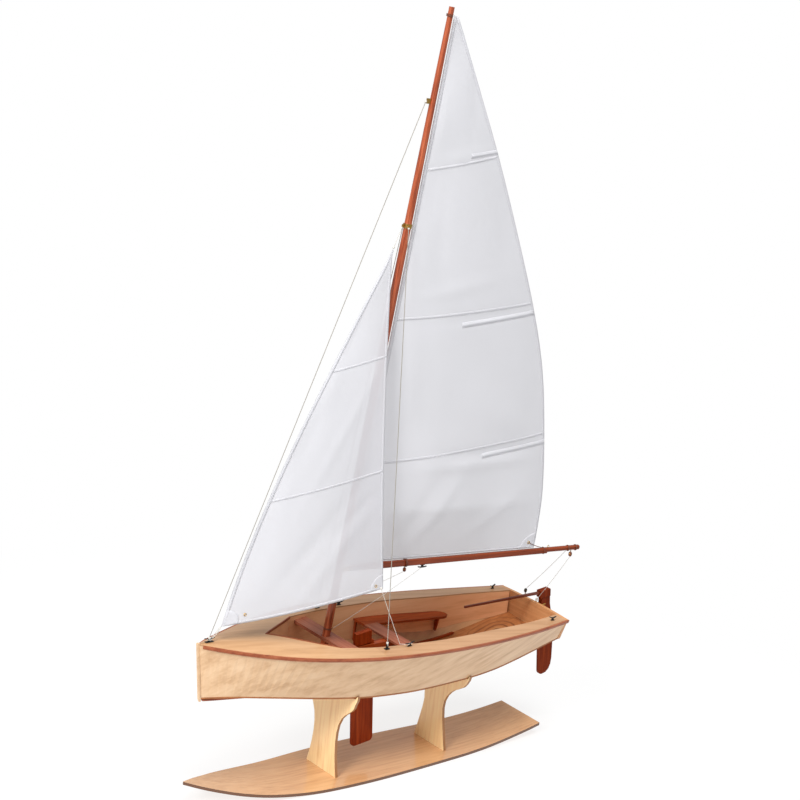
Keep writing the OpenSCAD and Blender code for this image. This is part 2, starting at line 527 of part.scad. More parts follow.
deck_cleats();
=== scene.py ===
import bpy
import bmesh
import json
import math
import random
from mathutils import Matrix, Vector, Quaternion


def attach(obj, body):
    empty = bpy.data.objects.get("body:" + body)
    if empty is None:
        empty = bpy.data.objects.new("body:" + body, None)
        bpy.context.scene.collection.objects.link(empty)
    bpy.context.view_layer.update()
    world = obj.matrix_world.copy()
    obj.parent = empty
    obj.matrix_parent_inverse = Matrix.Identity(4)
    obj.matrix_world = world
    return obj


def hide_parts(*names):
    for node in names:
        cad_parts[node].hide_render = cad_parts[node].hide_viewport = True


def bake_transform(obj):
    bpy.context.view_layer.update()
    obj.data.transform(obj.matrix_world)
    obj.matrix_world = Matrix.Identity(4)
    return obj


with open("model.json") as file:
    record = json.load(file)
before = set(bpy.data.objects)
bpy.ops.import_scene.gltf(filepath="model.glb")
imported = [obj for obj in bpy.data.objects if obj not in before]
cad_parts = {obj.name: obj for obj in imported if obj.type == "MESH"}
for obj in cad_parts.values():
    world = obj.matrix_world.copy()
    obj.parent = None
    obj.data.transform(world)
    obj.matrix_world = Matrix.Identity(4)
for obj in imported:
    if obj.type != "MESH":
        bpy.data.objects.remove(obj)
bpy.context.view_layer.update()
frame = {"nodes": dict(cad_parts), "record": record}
MM = 0.001
rnd = random.Random(7)

# ---------------------------------------------------------------- frames of the rig
RAKE = math.radians(6.24)
FOOT = (72.56, 0.0, 88.2)
PIN = (-5.6, 0.0, 121.1)
OUT = math.radians(9.0)
BOOM_UP = math.radians(5.5)


def rig(p):
    x, y, z = p
    return Vector((FOOT[0] + x * math.cos(RAKE) - z * math.sin(RAKE), FOOT[1] + y,
                   FOOT[2] + x * math.sin(RAKE) + z * math.cos(RAKE)))


def swing(p):
    x, y, z = p
    return rig((PIN[0] + x * math.cos(OUT) + y * math.sin(OUT), PIN[1] - x * math.sin(OUT) + y * math.cos(OUT),
                PIN[2] + z))


def boom_at(d, y=0.0, z=0.0):
    # d along the boom from its pin, z above its centre line
    c, s = math.cos(BOOM_UP), math.sin(BOOM_UP)
    return swing((-d * c + z * s, y, 0.6 + d * s + z * c))


def mix(a, b, t):
    return a + (b - a) * t


def spline(pts, n, closed=False):
    # smooth line through points
    P = [Vector(p) for p in pts]
    out = []
    for i in range(len(P) - 1):
        p0 = P[i - 1] if i > 0 else P[i] * 2 - P[i + 1]
        p1, p2 = P[i], P[i + 1]
        p3 = P[i + 2] if i + 2 < len(P) else P[i + 1] * 2 - P[i]
        for k in range(n):
            t = k / n
            out.append(0.5 * ((2 * p1) + (p2 - p0) * t + (2 * p0 - 5 * p1 + 4 * p2 - p3) * t * t
                              + (3 * p1 - p0 - 3 * p2 + p3) * t ** 3))
    out.append(P[-1])
    return out


def table(p, x):
    i = 0
    while i < len(p) - 2 and x >= p[i + 1][0]:
        i += 1
    def sl(k):
        if k == 0:
            return (p[1][1] - p[0][1]) / (p[1][0] - p[0][0])
        if k == len(p) - 1:
            return (p[k][1] - p[k - 1][1]) / (p[k][0] - p[k - 1][0])
        return (p[k + 1][1] - p[k - 1][1]) / (p[k + 1][0] - p[k - 1][0])
    h = p[i + 1][0] - p[i][0]
    t = (x - p[i][0]) / h
    return ((2*t**3 - 3*t*t + 1) * p[i][1] + (t**3 - 2*t*t + t) * h * sl(i)
            + (3*t*t - 2*t**3) * p[i + 1][1] + (t**3 - t*t) * h * sl(i + 1))


# ---------------------------------------------------------------- materials
def new_mat(name):
    m = bpy.data.materials.new(name)
    m.use_nodes = True
    nt = m.node_tree
    nt.nodes.clear()
    o = nt.nodes.new("ShaderNodeOutputMaterial")
    b = nt.nodes.new("ShaderNodeBsdfPrincipled")
    nt.links.new(b.outputs[0], o.inputs[0])
    return m, nt, b


def srgb(r, g, b):
    f = lambda v: v / 12.92 if v <= 0.04045 else ((v + 0.055) / 1.055) ** 2.4
    return (f(r / 255), f(g / 255), f(b / 255), 1.0)


def ramp(nt, stops, fac, interp="LINEAR"):
    r = nt.nodes.new("ShaderNodeValToRGB")
    r.color_ramp.interpolation = interp
    e = r.color_ramp.elements
    e[0].position, e[0].color = stops[0]
    e[1].position, e[1].color = stops[-1]
    for p, c in stops[1:-1]:
        k = e.new(p)
        k.color = c
    nt.links.new(fac, r.inputs[0])
    return r.outputs[0]


def math_node(nt, op, a, b=None, clamp=False):
    n = nt.nodes.new("ShaderNodeMath")
    n.operation = op
    n.use_clamp = clamp
    for i, v in enumerate((a, b)):
        if v is None:
            continue
        if isinstance(v, (int, float)):
            n.inputs[i].default_value = v
        else:
            nt.links.new(v, n.inputs[i])
    return n.outputs[0]


def mapping(nt, rot=(0, 0, 0), scale=(1, 1, 1), loc=(0, 0, 0)):
    # turned first, then stretched
    tc = nt.nodes.new("ShaderNodeTexCoord")
    turn = nt.nodes.new("ShaderNodeMapping")
    turn.inputs["Rotation"].default_value = [math.radians(v) for v in rot]
    nt.links.new(tc.outputs["Object"], turn.inputs[0])
    mp = nt.nodes.new("ShaderNodeMapping")
    mp.inputs["Scale"].default_value = scale
    mp.inputs["Location"].default_value = loc
    nt.links.new(turn.outputs[0], mp.inputs[0])
    return mp.outputs[0]


def noise(nt, vec, scale, detail=4.0, rough=0.55, dist=0.0):
    n = nt.nodes.new("ShaderNodeTexNoise")
    n.inputs["Scale"].default_value = scale
    n.inputs["Detail"].default_value = detail
    n.inputs["Roughness"].default_value = rough
    n.inputs["Distortion"].default_value = dist
    if vec is not None:
        nt.links.new(vec, n.inputs["Vector"])
    return n.outputs[0]


def mixcol(nt, fac, a, b, mode="MIX"):
    n = nt.nodes.new("ShaderNodeMix")
    n.data_type = "RGBA"
    n.blend_type = mode
    for sock, v in ((n.inputs[0], fac), (n.inputs[6], a), (n.inputs[7], b)):
        if isinstance(v, (int, float)):
            sock.default_value = v
        elif isinstance(v, tuple):
            sock.default_value = v
        else:
            nt.links.new(v, sock)
    return n.outputs[2]


def wood(name, light, mid, dark, rot=(0, 0, 0), rough=0.42, gloss=0.0, streak=1.0, fine=1.0, contrast=1.0,
         edge=None, warp=1.0, scale=1.0, mottle=0.3, oval=None, spec=0.3, inside_shade_tint=None, under=None):
    """grain runs along the local X of the turned coordinates"""
    m, nt, b = new_mat(name)
    warp_v = mapping(nt, rot, (8 * scale, 26 * scale, 26 * scale), (3.1, 1.7, 0.4))
    w = noise(nt, warp_v, 1.0, 3, 0.5, 0.6)
    # drawn-out figure of the veneer, bent by the slow noise
    v = mapping(nt, rot, (10 * scale, 120 * scale * streak, 120 * scale * streak))
    addv = nt.nodes.new("ShaderNodeVectorMath")
    addv.operation = "MULTIPLY_ADD"
    comb = nt.nodes.new("ShaderNodeCombineXYZ")
    for k in range(3):
        nt.links.new(w, comb.inputs[k])
    nt.links.new(comb.outputs[0], addv.inputs[0])
    addv.inputs[1].default_value = (0.0, 7.0 * warp, 7.0 * warp)
    nt.links.new(v, addv.inputs[2])
    f1 = noise(nt, addv.outputs[0], 1.0, 6, 0.62, 0.1)
    f2 = noise(nt, mapping(nt, rot, (16 * scale, 420 * scale, 420 * scale), (1, 5, 3)), 1.0, 3, 0.6, 0.15)
    csum = math_node(nt, "ADD", math_node(nt, "MULTIPLY", f1, 0.42 * contrast), math_node(nt, "MULTIPLY", f2, 0.58 * contrast))
    off = 0.5 * (1 - contrast)
    c0 = ramp(nt, [(0.37, light), (0.50, mid), (0.66, dark)], math_node(nt, "ADD", csum, off))
    # fine pores drawn along the grain
    pv = mapping(nt, rot, (70 * scale, 1500 * scale, 1500 * scale))
    p = noise(nt, pv, 1.0, 2, 0.5)
    pores = ramp(nt, [(0.58, (0, 0, 0, 1)), (0.74, (1, 1, 1, 1))], p)
    c1 = mixcol(nt, math_node(nt, "MULTIPLY", pores, 0.35 * fine), c0, dark)
    big = noise(nt, mapping(nt, (0, 0, 0), (13, 13, 13), (5, 2, 9)), 1.0, 2, 0.5)
    col = mixcol(nt, math_node(nt, "MULTIPLY", ramp(nt, [(0.38, (0, 0, 0, 1)), (0.66, (1, 1, 1, 1))], big), mottle), c1, mid)
    if oval is not None:
        # rings of an oval knot figure in the veneer
        x0, y0, ra, rb = oval
        ov = mapping(nt, (0, 0, 0), (1 / ra, 1 / rb, 0.0), (-x0 / ra, -y0 / rb, 0))
        wob = noise(nt, mapping(nt, (0, 0, 0), (50, 50, 50)), 1.0, 2, 0.5)
        ln = nt.nodes.new("ShaderNodeVectorMath")
        ln.operation = "LENGTH"
        nt.links.new(ov, ln.inputs[0])
        dd = math_node(nt, "ADD", ln.outputs["Value"], math_node(nt, "MULTIPLY", wob, 0.35))
        rings = math_node(nt, "SINE", math_node(nt, "MULTIPLY", dd, 21.0))
        rm = ramp(nt, [(0.72, (0, 0, 0, 1)), (0.97, (1, 1, 1, 1))], math_node(nt, "ADD", math_node(nt, "MULTIPLY", rings, 0.5), 0.5))
        fade = ramp(nt, [(0.55, (1, 1, 1, 1)), (1.0, (0, 0, 0, 1))], math_node(nt, "MULTIPLY", dd, 0.62))
        core = ramp(nt, [(0.2, (1, 1, 1, 1)), (0.62, (0, 0, 0, 1))], dd)
        col = mixcol(nt, math_node(nt, "MULTIPLY", core, 0.5), col, srgb(226, 178, 122))
        col = mixcol(nt, math_node(nt, "MULTIPLY", math_node(nt, "MULTIPLY", rm, fade), 0.75), col, srgb(108, 62, 34))
    if edge is not None:
        # cut edges of the board
        geo = nt.nodes.new("ShaderNodeTexCoord")
        sep = nt.nodes.new("ShaderNodeSeparateXYZ")
        nt.links.new(geo.outputs["Normal"], sep.inputs[0])
        az = math_node(nt, "ABSOLUTE", sep.outputs["XYZ".index(edge[0])])
        mask = ramp(nt, [(0.35, (1, 1, 1, 1)), (0.6, (0, 0, 0, 1))], az)
        col = mixcol(nt, mask, col, edge[1])
    if inside_shade_tint is not None or under is not None:
        # the face turned to the boat's inside is multiplied darker and warmer: painted shade, partly the cockpit
        # lining's tone; the underside has its own tone
        tco = nt.nodes.new("ShaderNodeTexCoord")
        sp = nt.nodes.new("ShaderNodeSeparateXYZ")
        sn = nt.nodes.new("ShaderNodeSeparateXYZ")
        nt.links.new(tco.outputs["Object"], sp.inputs[0])
        nt.links.new(tco.outputs["Normal"], sn.inputs[0])
        if inside_shade_tint is not None:
            # painted shade: the inside faces are darkened by this tint
            away = math_node(nt, "MULTIPLY", sp.outputs[1], sn.outputs[1])
            inside_shade_mask = ramp(nt, [(0.40, (1, 1, 1, 1)), (0.49, (0, 0, 0, 1))], math_node(nt, "ADD", math_node(nt, "MULTIPLY", away, 20.0), 0.5))
            tn = nt.nodes.new("ShaderNodeMix")
            tn.data_type = "RGBA"
            tn.blend_type = "MULTIPLY"
            nt.links.new(inside_shade_mask, tn.inputs[0])
            nt.links.new(col, tn.inputs[6])
            tn.inputs[7].default_value = inside_shade_tint
            col = tn.outputs[2]
        if under is not None:
            um = ramp(nt, [(0.2, (1, 1, 1, 1)), (0.4, (0, 0, 0, 1))], math_node(nt, "ADD", math_node(nt, "MULTIPLY", sn.outputs[2], 0.5), 0.5))
            col = mixcol(nt, math_node(nt, "MULTIPLY", um, 0.85), col, under)
    nt.links.new(col, b.inputs["Base Color"])
    rr = math_node(nt, "ADD", math_node(nt, "MULTIPLY", p, 0.12), rough - 0.06)
    nt.links.new(rr, b.inputs["Roughness"])
    if gloss:
        b.inputs["Coat Weight"].default_value = gloss
        b.inputs["Coat Roughness"].default_value = 0.08
    b.inputs["Specular IOR Level"].default_value = spec
    bump = nt.nodes.new("ShaderNodeBump")
    bump.inputs["Strength"].default_value = 0.10
    bump.inputs["Distance"].default_value = 0.0002
    nt.links.new(p, bump.inputs["Height"])
    nt.links.new(bump.outputs[0], b.inputs["Normal"])
    return m


def metal(name, col, rough=0.25, metallic=1.0):
    m, nt, b = new_mat(name)
    n = noise(nt, mapping(nt, (0, 0, 0), (300, 300, 300)), 1.0, 3, 0.6)
    dark = tuple(v * 0.55 for v in col[:3]) + (1,)
    c = mixcol(nt, math_node(nt, "MULTIPLY", ramp(nt, [(0.45, (0, 0, 0, 1)), (0.75, (1, 1, 1, 1))], n), 0.5), col, dark)
    nt.links.new(c, b.inputs["Base Color"])
    b.inputs["Metallic"].default_value = metallic
    nt.links.new(math_node(nt, "ADD", math_node(nt, "MULTIPLY", n, 0.2), rough - 0.1), b.inputs["Roughness"])
    return m


def plain(name, col, rough=0.5, bump_scale=900, bump=0.15):
    m, nt, b = new_mat(name)
    n = noise(nt, mapping(nt, (0, 0, 0), (bump_scale,) * 3), 1.0, 3, 0.6)
    dark = tuple(v * 0.7 for v in col[:3]) + (1,)
    nt.links.new(mixcol(nt, math_node(nt, "MULTIPLY", n, 0.5), col, dark), b.inputs["Base Color"])
    b.inputs["Roughness"].default_value = rough
    bp = nt.nodes.new("ShaderNodeBump")
    bp.inputs["Strength"].default_value = bump
    bp.inputs["Distance"].default_value = 0.0002
    nt.links.new(n, bp.inputs["Height"])
    nt.links.new(bp.outputs[0], b.inputs["Normal"])
    return m


def cloth(name, col, trans=0.35, clear=0.0):
    """woven cloth that lets some light through"""
    m = bpy.data.materials.new(name)
    m.use_nodes = True
    nt = m.node_tree
    nt.nodes.clear()
    o = nt.nodes.new("ShaderNodeOutputMaterial")
    b = nt.nodes.new("ShaderNodeBsdfPrincipled")
    t = nt.nodes.new("ShaderNodeBsdfTranslucent")
    mx = nt.nodes.new("ShaderNodeMixShader")
    nt.links.new(b.outputs[0], mx.inputs[1])
    nt.links.new(t.outputs[0], mx.inputs[2])
    tr = nt.nodes.new("ShaderNodeBsdfTransparent")
    mt = nt.nodes.new("ShaderNodeMixShader")
    nt.links.new(mx.outputs[0], mt.inputs[1])
    nt.links.new(tr.outputs[0], mt.inputs[2])
    mt.inputs[0].default_value = clear
    nt.links.new(mt.outputs[0], o.inputs[0])
    mx.inputs[0].default_value = trans
    # weave from the cloth's own coordinates, warp and weft
    tc = nt.nodes.new("ShaderNodeTexCoord")
    sep = nt.nodes.new("ShaderNodeSeparateXYZ")
    nt.links.new(tc.outputs["Object"], sep.inputs[0])
    def thread(axis_a, scale):
        s = math_node(nt, "SINE", math_node(nt, "MULTIPLY", axis_a, scale))
        return math_node(nt, "ADD", math_node(nt, "MULTIPLY", s, 0.5), 0.5)
    across = math_node(nt, "ADD", sep.outputs[0], math_node(nt, "MULTIPLY", sep.outputs[1], 0.6))
    w1 = thread(across, 9000)
    w2 = thread(sep.outputs[2], 9000)
    weave = math_node(nt, "MAXIMUM", w1, w2)
    slub = noise(nt, mapping(nt, (0, 0, 0), (60, 60, 300)), 1.0, 4, 0.6)
    cloud = noise(nt, mapping(nt, (0, 0, 0), (16, 16, 11), (1, 4, 2)), 1.0, 2, 0.5)
    lite = tuple(v * 0.94 for v in col[:3]) + (1,)
    c = mixcol(nt, math_node(nt, "MULTIPLY", math_node(nt, "SUBTRACT", 1.0, weave), 0.25), col, lite)
    grey = tuple(v * 0.9 for v in col[:3]) + (1,)
    c = mixcol(nt, math_node(nt, "MULTIPLY", ramp(nt, [(0.4, (0, 0, 0, 1)), (0.75, (1, 1, 1, 1))], cloud), 0.35), c, grey)
    nt.links.new(c, b.inputs["Base Color"])
    nt.links.new(c, t.inputs["Color"])
    b.inputs["Roughness"].default_value = 0.75
    b.inputs["Specular IOR Level"].default_value = 0.25
    b.inputs["Sheen Weight"].default_value = 0.1
    bp = nt.nodes.new("ShaderNodeBump")
    bp.inputs["Strength"].default_value = 0.22
    bp.inputs["Distance"].default_value = 0.00008
    h = math_node(nt, "ADD", weave, math_node(nt, "MULTIPLY", slub, 1.2))
    nt.links.new(h, bp.inputs["Height"])
    nt.links.new(bp.outputs[0], b.inputs["Normal"])
    nt.links.new(bp.outputs[0], t.inputs["Normal"])
    return m


M = {}
M["base_ply"] = wood("base_ply", srgb(226, 179, 132), srgb(217, 168, 120), srgb(198, 147, 101), rough=0.24, gloss=0.75,
                     streak=0.8, warp=0.5, fine=0.6, edge=("Z", srgb(104, 66, 40)))
M["leg_ply"] = wood("leg_ply", srgb(255, 228, 176), srgb(252, 218, 164), srgb(236, 194, 140), rot=(0, 90, 0), rough=0.38,
                    gloss=0.25, streak=0.8, warp=0.5, fine=0.6, edge=("X", srgb(166, 116, 72)))
# the hull ply's inside faces get a darker, warmer tint: painted shade, partly the cockpit lining's tone
M["hull_ply"] = wood("hull_ply", srgb(234, 199, 161), srgb(225, 187, 147), srgb(199, 157, 116), rot=(0, -30, 0), rough=0.42,
                     gloss=0.2, streak=2.5, warp=0.5, fine=0.4, scale=0.3, inside_shade_tint=(0.80, 0.64, 0.50, 1))
M["deck_ply"] = wood("deck_ply", srgb(203, 161, 120), srgb(192, 149, 108), srgb(170, 127, 87), rot=(0, 0, 12), rough=0.38,
                     gloss=0.25, streak=1.8, warp=0.45, fine=0.5, scale=0.4)
M["side_ply"] = wood("side_ply", srgb(196, 152, 113), srgb(185, 141, 102), srgb(162, 118, 80), rot=(0, 0, 12), rough=0.38,
                     gloss=0.25, streak=1.8, warp=0.45, fine=0.5, scale=0.4)
M["cockpit_wood"] = wood("cockpit_wood", srgb(248, 194, 146), srgb(241, 184, 136), srgb(222, 162, 115), rough=0.45,
                         gloss=0.15, streak=1.8, warp=0.45, fine=0.6, scale=0.4)
M["floor_wood"] = wood("floor_wood", srgb(182, 118, 70), srgb(168, 104, 58), srgb(142, 82, 43), rough=0.42,
                       oval=(-0.166, -0.017, 0.030, 0.017), under=srgb(225, 187, 147), gloss=0.2, streak=0.5, warp=0.5, fine=0.6)
M["transom_wood"] = wood("transom_wood", srgb(220, 164, 114), srgb(208, 150, 100), srgb(184, 124, 78), rot=(0, 0, 90),
                         rough=0.42, gloss=0.2, streak=0.6, warp=0.5, fine=0.5)
M["strake_wood"] = wood("strake_wood", srgb(178, 104, 68), srgb(160, 86, 54), srgb(128, 62, 36), rough=0.42, gloss=0.15,
                        streak=1.2, warp=0.4, spec=0.2)
M["coaming_wood"] = wood("coaming_wood", srgb(166, 92, 58), srgb(146, 74, 44), srgb(114, 54, 30), rough=0.42, gloss=0.15,
                         streak=1.2, warp=0.4, spec=0.2)
M["thwart_wood"] = wood("thwart_wood", srgb(170, 105, 80), srgb(152, 87, 62), srgb(118, 60, 40), rot=(0, 0, 90),
                        rough=0.45, gloss=0.1, streak=1.1, warp=0.4, fine=1.0, spec=0.2)
M["bench_wood"] = wood("bench_wood", srgb(170, 78, 35), srgb(148, 60, 22), srgb(112, 40, 12), rough=0.42, gloss=0.1,
                       streak=1.1, warp=0.4, fine=1.0, spec=0.15)
M["foil_wood"] = wood("foil_wood", srgb(138, 55, 17), srgb(118, 41, 10), srgb(86, 27, 6), rot=(0, 84, 0), rough=0.45,
                      gloss=0.0, streak=1.2, warp=0.35, fine=1.0, spec=0.06)
M["board_wood"] = wood("board_wood", srgb(164, 68, 26), srgb(142, 52, 16), srgb(106, 34, 9), rot=(0, 84, 0), rough=0.45,
                       gloss=0.0, streak=1.2, warp=0.35, fine=1.0, spec=0.06)
M["spar_wood"] = wood("spar_wood", srgb(192, 102, 66), srgb(164, 78, 46), srgb(112, 44, 22), rot=(0, 96, 0), rough=0.26,
                      gloss=0.5, streak=1.2, warp=0.3, fine=1.3, scale=1.7, contrast=1.35)
# the boom wood is the spar wood painted darker: painted shade for the boom's shadowed look
M["boom_wood"] = wood("boom_wood", srgb(150, 71, 34), srgb(129, 55, 25), srgb(94, 36, 15), rot=(0, 0, 9), rough=0.32,
                      gloss=0.12, streak=1.2, warp=0.3, fine=0.9)
M["tiller_wood"] = wood("tiller_wood", srgb(136, 70, 44), srgb(114, 52, 31), srgb(84, 34, 20), rough=0.40, gloss=0.2,
                        streak=1.2, warp=0.3, spec=0.2)
M["brass"] = metal("brass", srgb(206, 166, 92), 0.28)
M["black_fittings"] = plain("black_fittings", srgb(30, 28, 28), 0.38)
M["stay_thread"] = plain("stay_thread", srgb(158, 152, 142), 0.8, 2500, 0.4)
M["cord_white"] = plain("cord_white", srgb(216, 212, 204), 0.85, 2500, 0.4)
M["thread_brown"] = plain("thread_brown", srgb(112, 62, 42), 0.8, 2500, 0.4)
M["sailcloth"] = cloth("sailcloth", srgb(231, 231, 235), 0.36, 0.30)
# the tape is painted lighter than the sailcloth: painted light to make up for the backlight its extra layers block
M["sail_tape"] = cloth("sail_tape", srgb(243, 243, 246), 0.40, 0.25)
M["stitch"] = plain("stitch", srgb(230, 230, 234), 0.8, 2500, 0.2)
# a paler, pinker copy of the thwart wood for top faces: painted highlight for the sheen on lit top faces
M["light_top"] = wood("light_top", srgb(214, 158, 136), srgb(196, 138, 116), srgb(160, 102, 82), rough=0.4, gloss=0.3)

# each CAD node's look
slot_of = {s["node"]: s["material_slot"] for s in frame["record"]["subparts"]} if "subparts" in frame["record"] else {}
LOOK = {"daggerboard": "board_wood", "side_deck_port": "side_ply", "side_deck_starboard": "side_ply",
        "bottom_panel": "floor_wood", "boom": "boom_wood", "tiller": "tiller_wood", "transom_board": "transom_wood"}
for name, o in frame["nodes"].items():
    key = LOOK.get(name) or slot_of.get(name) or "hull_ply"
    mat = M.get(key, M["hull_ply"])
    if not o.data.materials:
        o.data.materials.append(mat)
    for s in o.material_slots:
        s.link = "OBJECT"
        s.material = mat


# ---------------------------------------------------------------- mesh helpers
def obj_from(name, verts, faces, mat, smooth=True):
    me = bpy.data.meshes.new(name)
    me.from_pydata([tuple(Vector(v) * MM) for v in verts], [], faces)
    me.validate()
    bm = bmesh.new()
    bm.from_mesh(me)
    bmesh.ops.recalc_face_normals(bm, faces=bm.faces)
    bm.to_mesh(me)
    bm.free()
    for p in me.polygons:
        p.use_smooth = smooth
    me.materials.append(mat)
    o = bpy.data.objects.new(name, me)
    bpy.context.scene.collection.objects.link(o)
    return o


class Mesh:
    """collects pieces of one mesh, in mm"""
    def __init__(self):
        self.v, self.f = [], []

    def add(self, verts, faces):
        k = len(self.v)
        self.v += [Vector(p) for p in verts]
        self.f += [tuple(k + i for i in q) for q in faces]

    def tube(self, pts, r, n=8, cap=True, r_end=None):
        pts = [Vector(p) for p in pts]
        out = [pts[0]]
        for p in pts[1:]:
            if (p - out[-1]).length > 1e-4:
                out.append(p)
        pts = out
        if len(pts) < 2:
            return
        T = []
        for i in range(len(pts)):
            a = pts[max(0, i - 1)]
            b = pts[min(len(pts) - 1, i + 1)]
            T.append((b - a).normalized())
        up = Vector((0, 0, 1)) if abs(T[0].z) < 0.9 else Vector((1, 0, 0))
        N = (up - T[0] * up.dot(T[0])).normalized()
        verts, faces = [], []
        for i, p in enumerate(pts):
            if i:
                q = T[i - 1].rotation_difference(T[i])
                N = (q @ N)
                N = (N - T[i] * N.dot(T[i])).normalized()
            B = T[i].cross(N)
            rr = r if r_end is None else r + (r_end - r) * i / (len(pts) - 1)
            for k in range(n):
                a = 2 * math.pi * k / n
                verts.append(p + (N * math.cos(a) + B * math.sin(a)) * rr)
        for i in range(len(pts) - 1):
            for k in range(n):
                faces.append((i * n + k, i * n + (k + 1) % n, (i + 1) * n + (k + 1) % n, (i + 1) * n + k))
        if cap:
            faces.append(tuple(reversed(range(n))))
            faces.append(tuple((len(pts) - 1) * n + k for k in range(n)))
        self.add(verts, faces)

    def laid(self, pts, r, pitch=None, step=0.9):
        """a rope of two twisted strands along a smooth path"""
        pts = [Vector(p) for p in pts]
        L = [0.0]
        for a, b in zip(pts, pts[1:]):
            L.append(L[-1] + (b - a).length)
        total = L[-1]
        if total < 1e-3:
            return
        pitch = pitch or r * 9
        n = max(4, int(total / step))
        def at(s):
            s = min(max(s, 0), total)
            i = 0
            while i < len(L) - 2 and L[i + 1] < s:
                i += 1
            t = (s - L[i]) / max(1e-9, L[i + 1] - L[i])
            return pts[i].lerp(pts[i + 1], t)
        base = [at(total * i / n) for i in range(n + 1)]
        T = [(base[min(n, i + 1)] - base[max(0, i - 1)]).normalized() for i in range(n + 1)]
        up = Vector((0, 0, 1)) if abs(T[0].z) < 0.9 else Vector((1, 0, 0))
        N = (up - T[0] * up.dot(T[0])).normalized()
        frames = []
        for i in range(n + 1):
            if i:
                q = T[i - 1].rotation_difference(T[i])
                N = q @ N
                N = (N - T[i] * N.dot(T[i])).normalized()
            frames.append((base[i], N.copy(), T[i].cross(N)))
        for ph in (0.0, math.pi):
            line = []
            for i, (p, n1, b1) in enumerate(frames):
                a = ph + 2 * math.pi * (total * i / n) / pitch
                line.append(p + (n1 * math.cos(a) + b1 * math.sin(a)) * r * 0.48)
            self.tube(line, r * 0.56, 5)

    def lathe(self, centre, axis, profile, n=16):
        """profile is (along axis, radius) pairs"""
        c, a = Vector(centre), Vector(axis).normalized()
        up = Vector((0, 0, 1)) if abs(a.z) < 0.9 else Vector((1, 0, 0))
        N = (up - a * up.dot(a)).normalized()
        B = a.cross(N)
        verts, faces = [], []
        for h, r in profile:
            for k in range(n):
                t = 2 * math.pi * k / n
                verts.append(c + a * h + (N * math.cos(t) + B * math.sin(t)) * max(r, 1e-3))
        for i in range(len(profile) - 1):
            for k in range(n):
                faces.append((i * n + k, i * n + (k + 1) % n, (i + 1) * n + (k + 1) % n, (i + 1) * n + k))
        faces.append(tuple(reversed(range(n))))
        faces.append(tuple((len(profile) - 1) * n + k for k in range(n)))
        self.add(verts, faces)

    def torus(self, centre, axis, R, r, n=20, m=8, squash=1.0):
        c, a = Vector(centre), Vector(axis).normalized()
        up = Vector((0, 0, 1)) if abs(a.z) < 0.9 else Vector((1, 0, 0))
        N = (up - a * up.dot(a)).normalized()
        B = a.cross(N)
        verts, faces = [], []
        for i in range(n):
            t = 2 * math.pi * i / n
            d = N * math.cos(t) + B * math.sin(t)
            e = N * math.cos(t) + B * math.sin(t) * squash
            for k in range(m):
                s = 2 * math.pi * k / m
                verts.append(c + e * R + (d * math.cos(s) + a * math.sin(s)) * r)
        for i in range(n):
            for k in range(m):
                faces.append((i * m + k, i * m + (k + 1) % m, ((i + 1) % n) * m + (k + 1) % m, ((i + 1) % n) * m + k))
        self.add(verts, faces)

    def slab(self, centre, ax, ay, az, sx, sy, sz, bev=0.25):
        """rounded-edge block with its own axes"""
        c = Vector(centre)
        ax, ay, az = Vector(ax).normalized(), Vector(ay).normalized(), Vector(az).normalized()
        def ring(h, ix):
            hx, hy = sx / 2 - ix, sy / 2 - ix
            b = bev
            pts = [(hx - b, -hy), (hx, -hy + b), (hx, hy - b), (hx - b, hy), (-hx + b, hy), (-hx, hy - b),
                   (-hx, -hy + b), (-hx + b, -hy)]
            return [c + ax * p[0] + ay * p[1] + az * h for p in pts]
        hs = [(-sz / 2, bev), (-sz / 2 + bev, 0), (sz / 2 - bev, 0), (sz / 2, bev)]
        verts, faces = [], []
        for h, ix in hs:
            verts += ring(h, ix * 0.8)
        for i in range(3):
            for k in range(8):
                faces.append((i * 8 + k, i * 8 + (k + 1) % 8, (i + 1) * 8 + (k + 1) % 8, (i + 1) * 8 + k))
        faces.append(tuple(reversed(range(8))))
        faces.append(tuple(24 + k for k in range(8)))
        self.add(verts, faces)

    def make(self, name, mat, smooth=True):
        return obj_from(name, self.v, self.f, mat, smooth)


def knot(mesh, c, r, axis=(0, 0, 1)):
    c, a = Vector(c), Vector(axis).normalized()
    for k, s in enumerate((-0.9, 0.0, 0.9)):
        mesh.torus(c + a * s * r * 0.8, a + Vector((0.25 * (k - 1), 0.2, 0)), r * 0.95, r * 0.62, 14, 6)


def sagging(a, b, sag, n=14):
    a, b = Vector(a), Vector(b)
    return [a.lerp(b, i / n) + Vector((0, 0, -4 * sag * (i / n) * (1 - i / n))) for i in range(n + 1)]


# ---------------------------------------------------------------- sails
CAMBER = 0.05
LEECH = [[24.6, 211], [53.5, 209.9], [84.6, 206.7], [139.4, 194.8], [202.4, 176.9], [259.1, 153.1],
         [335.7, 113.6], [403.5, 76], [460, 42], [520.8, 4.7]]


def hump(s, t, s0, t0, ls, lt, ang=0.0):
    c, d = math.cos(ang), math.sin(ang)
    u, v = (s - s0) * c + (t - t0) * d, -(s - s0) * d + (t - t0) * c
    return math.exp(-(u / ls) ** 2 - (v / lt) ** 2)


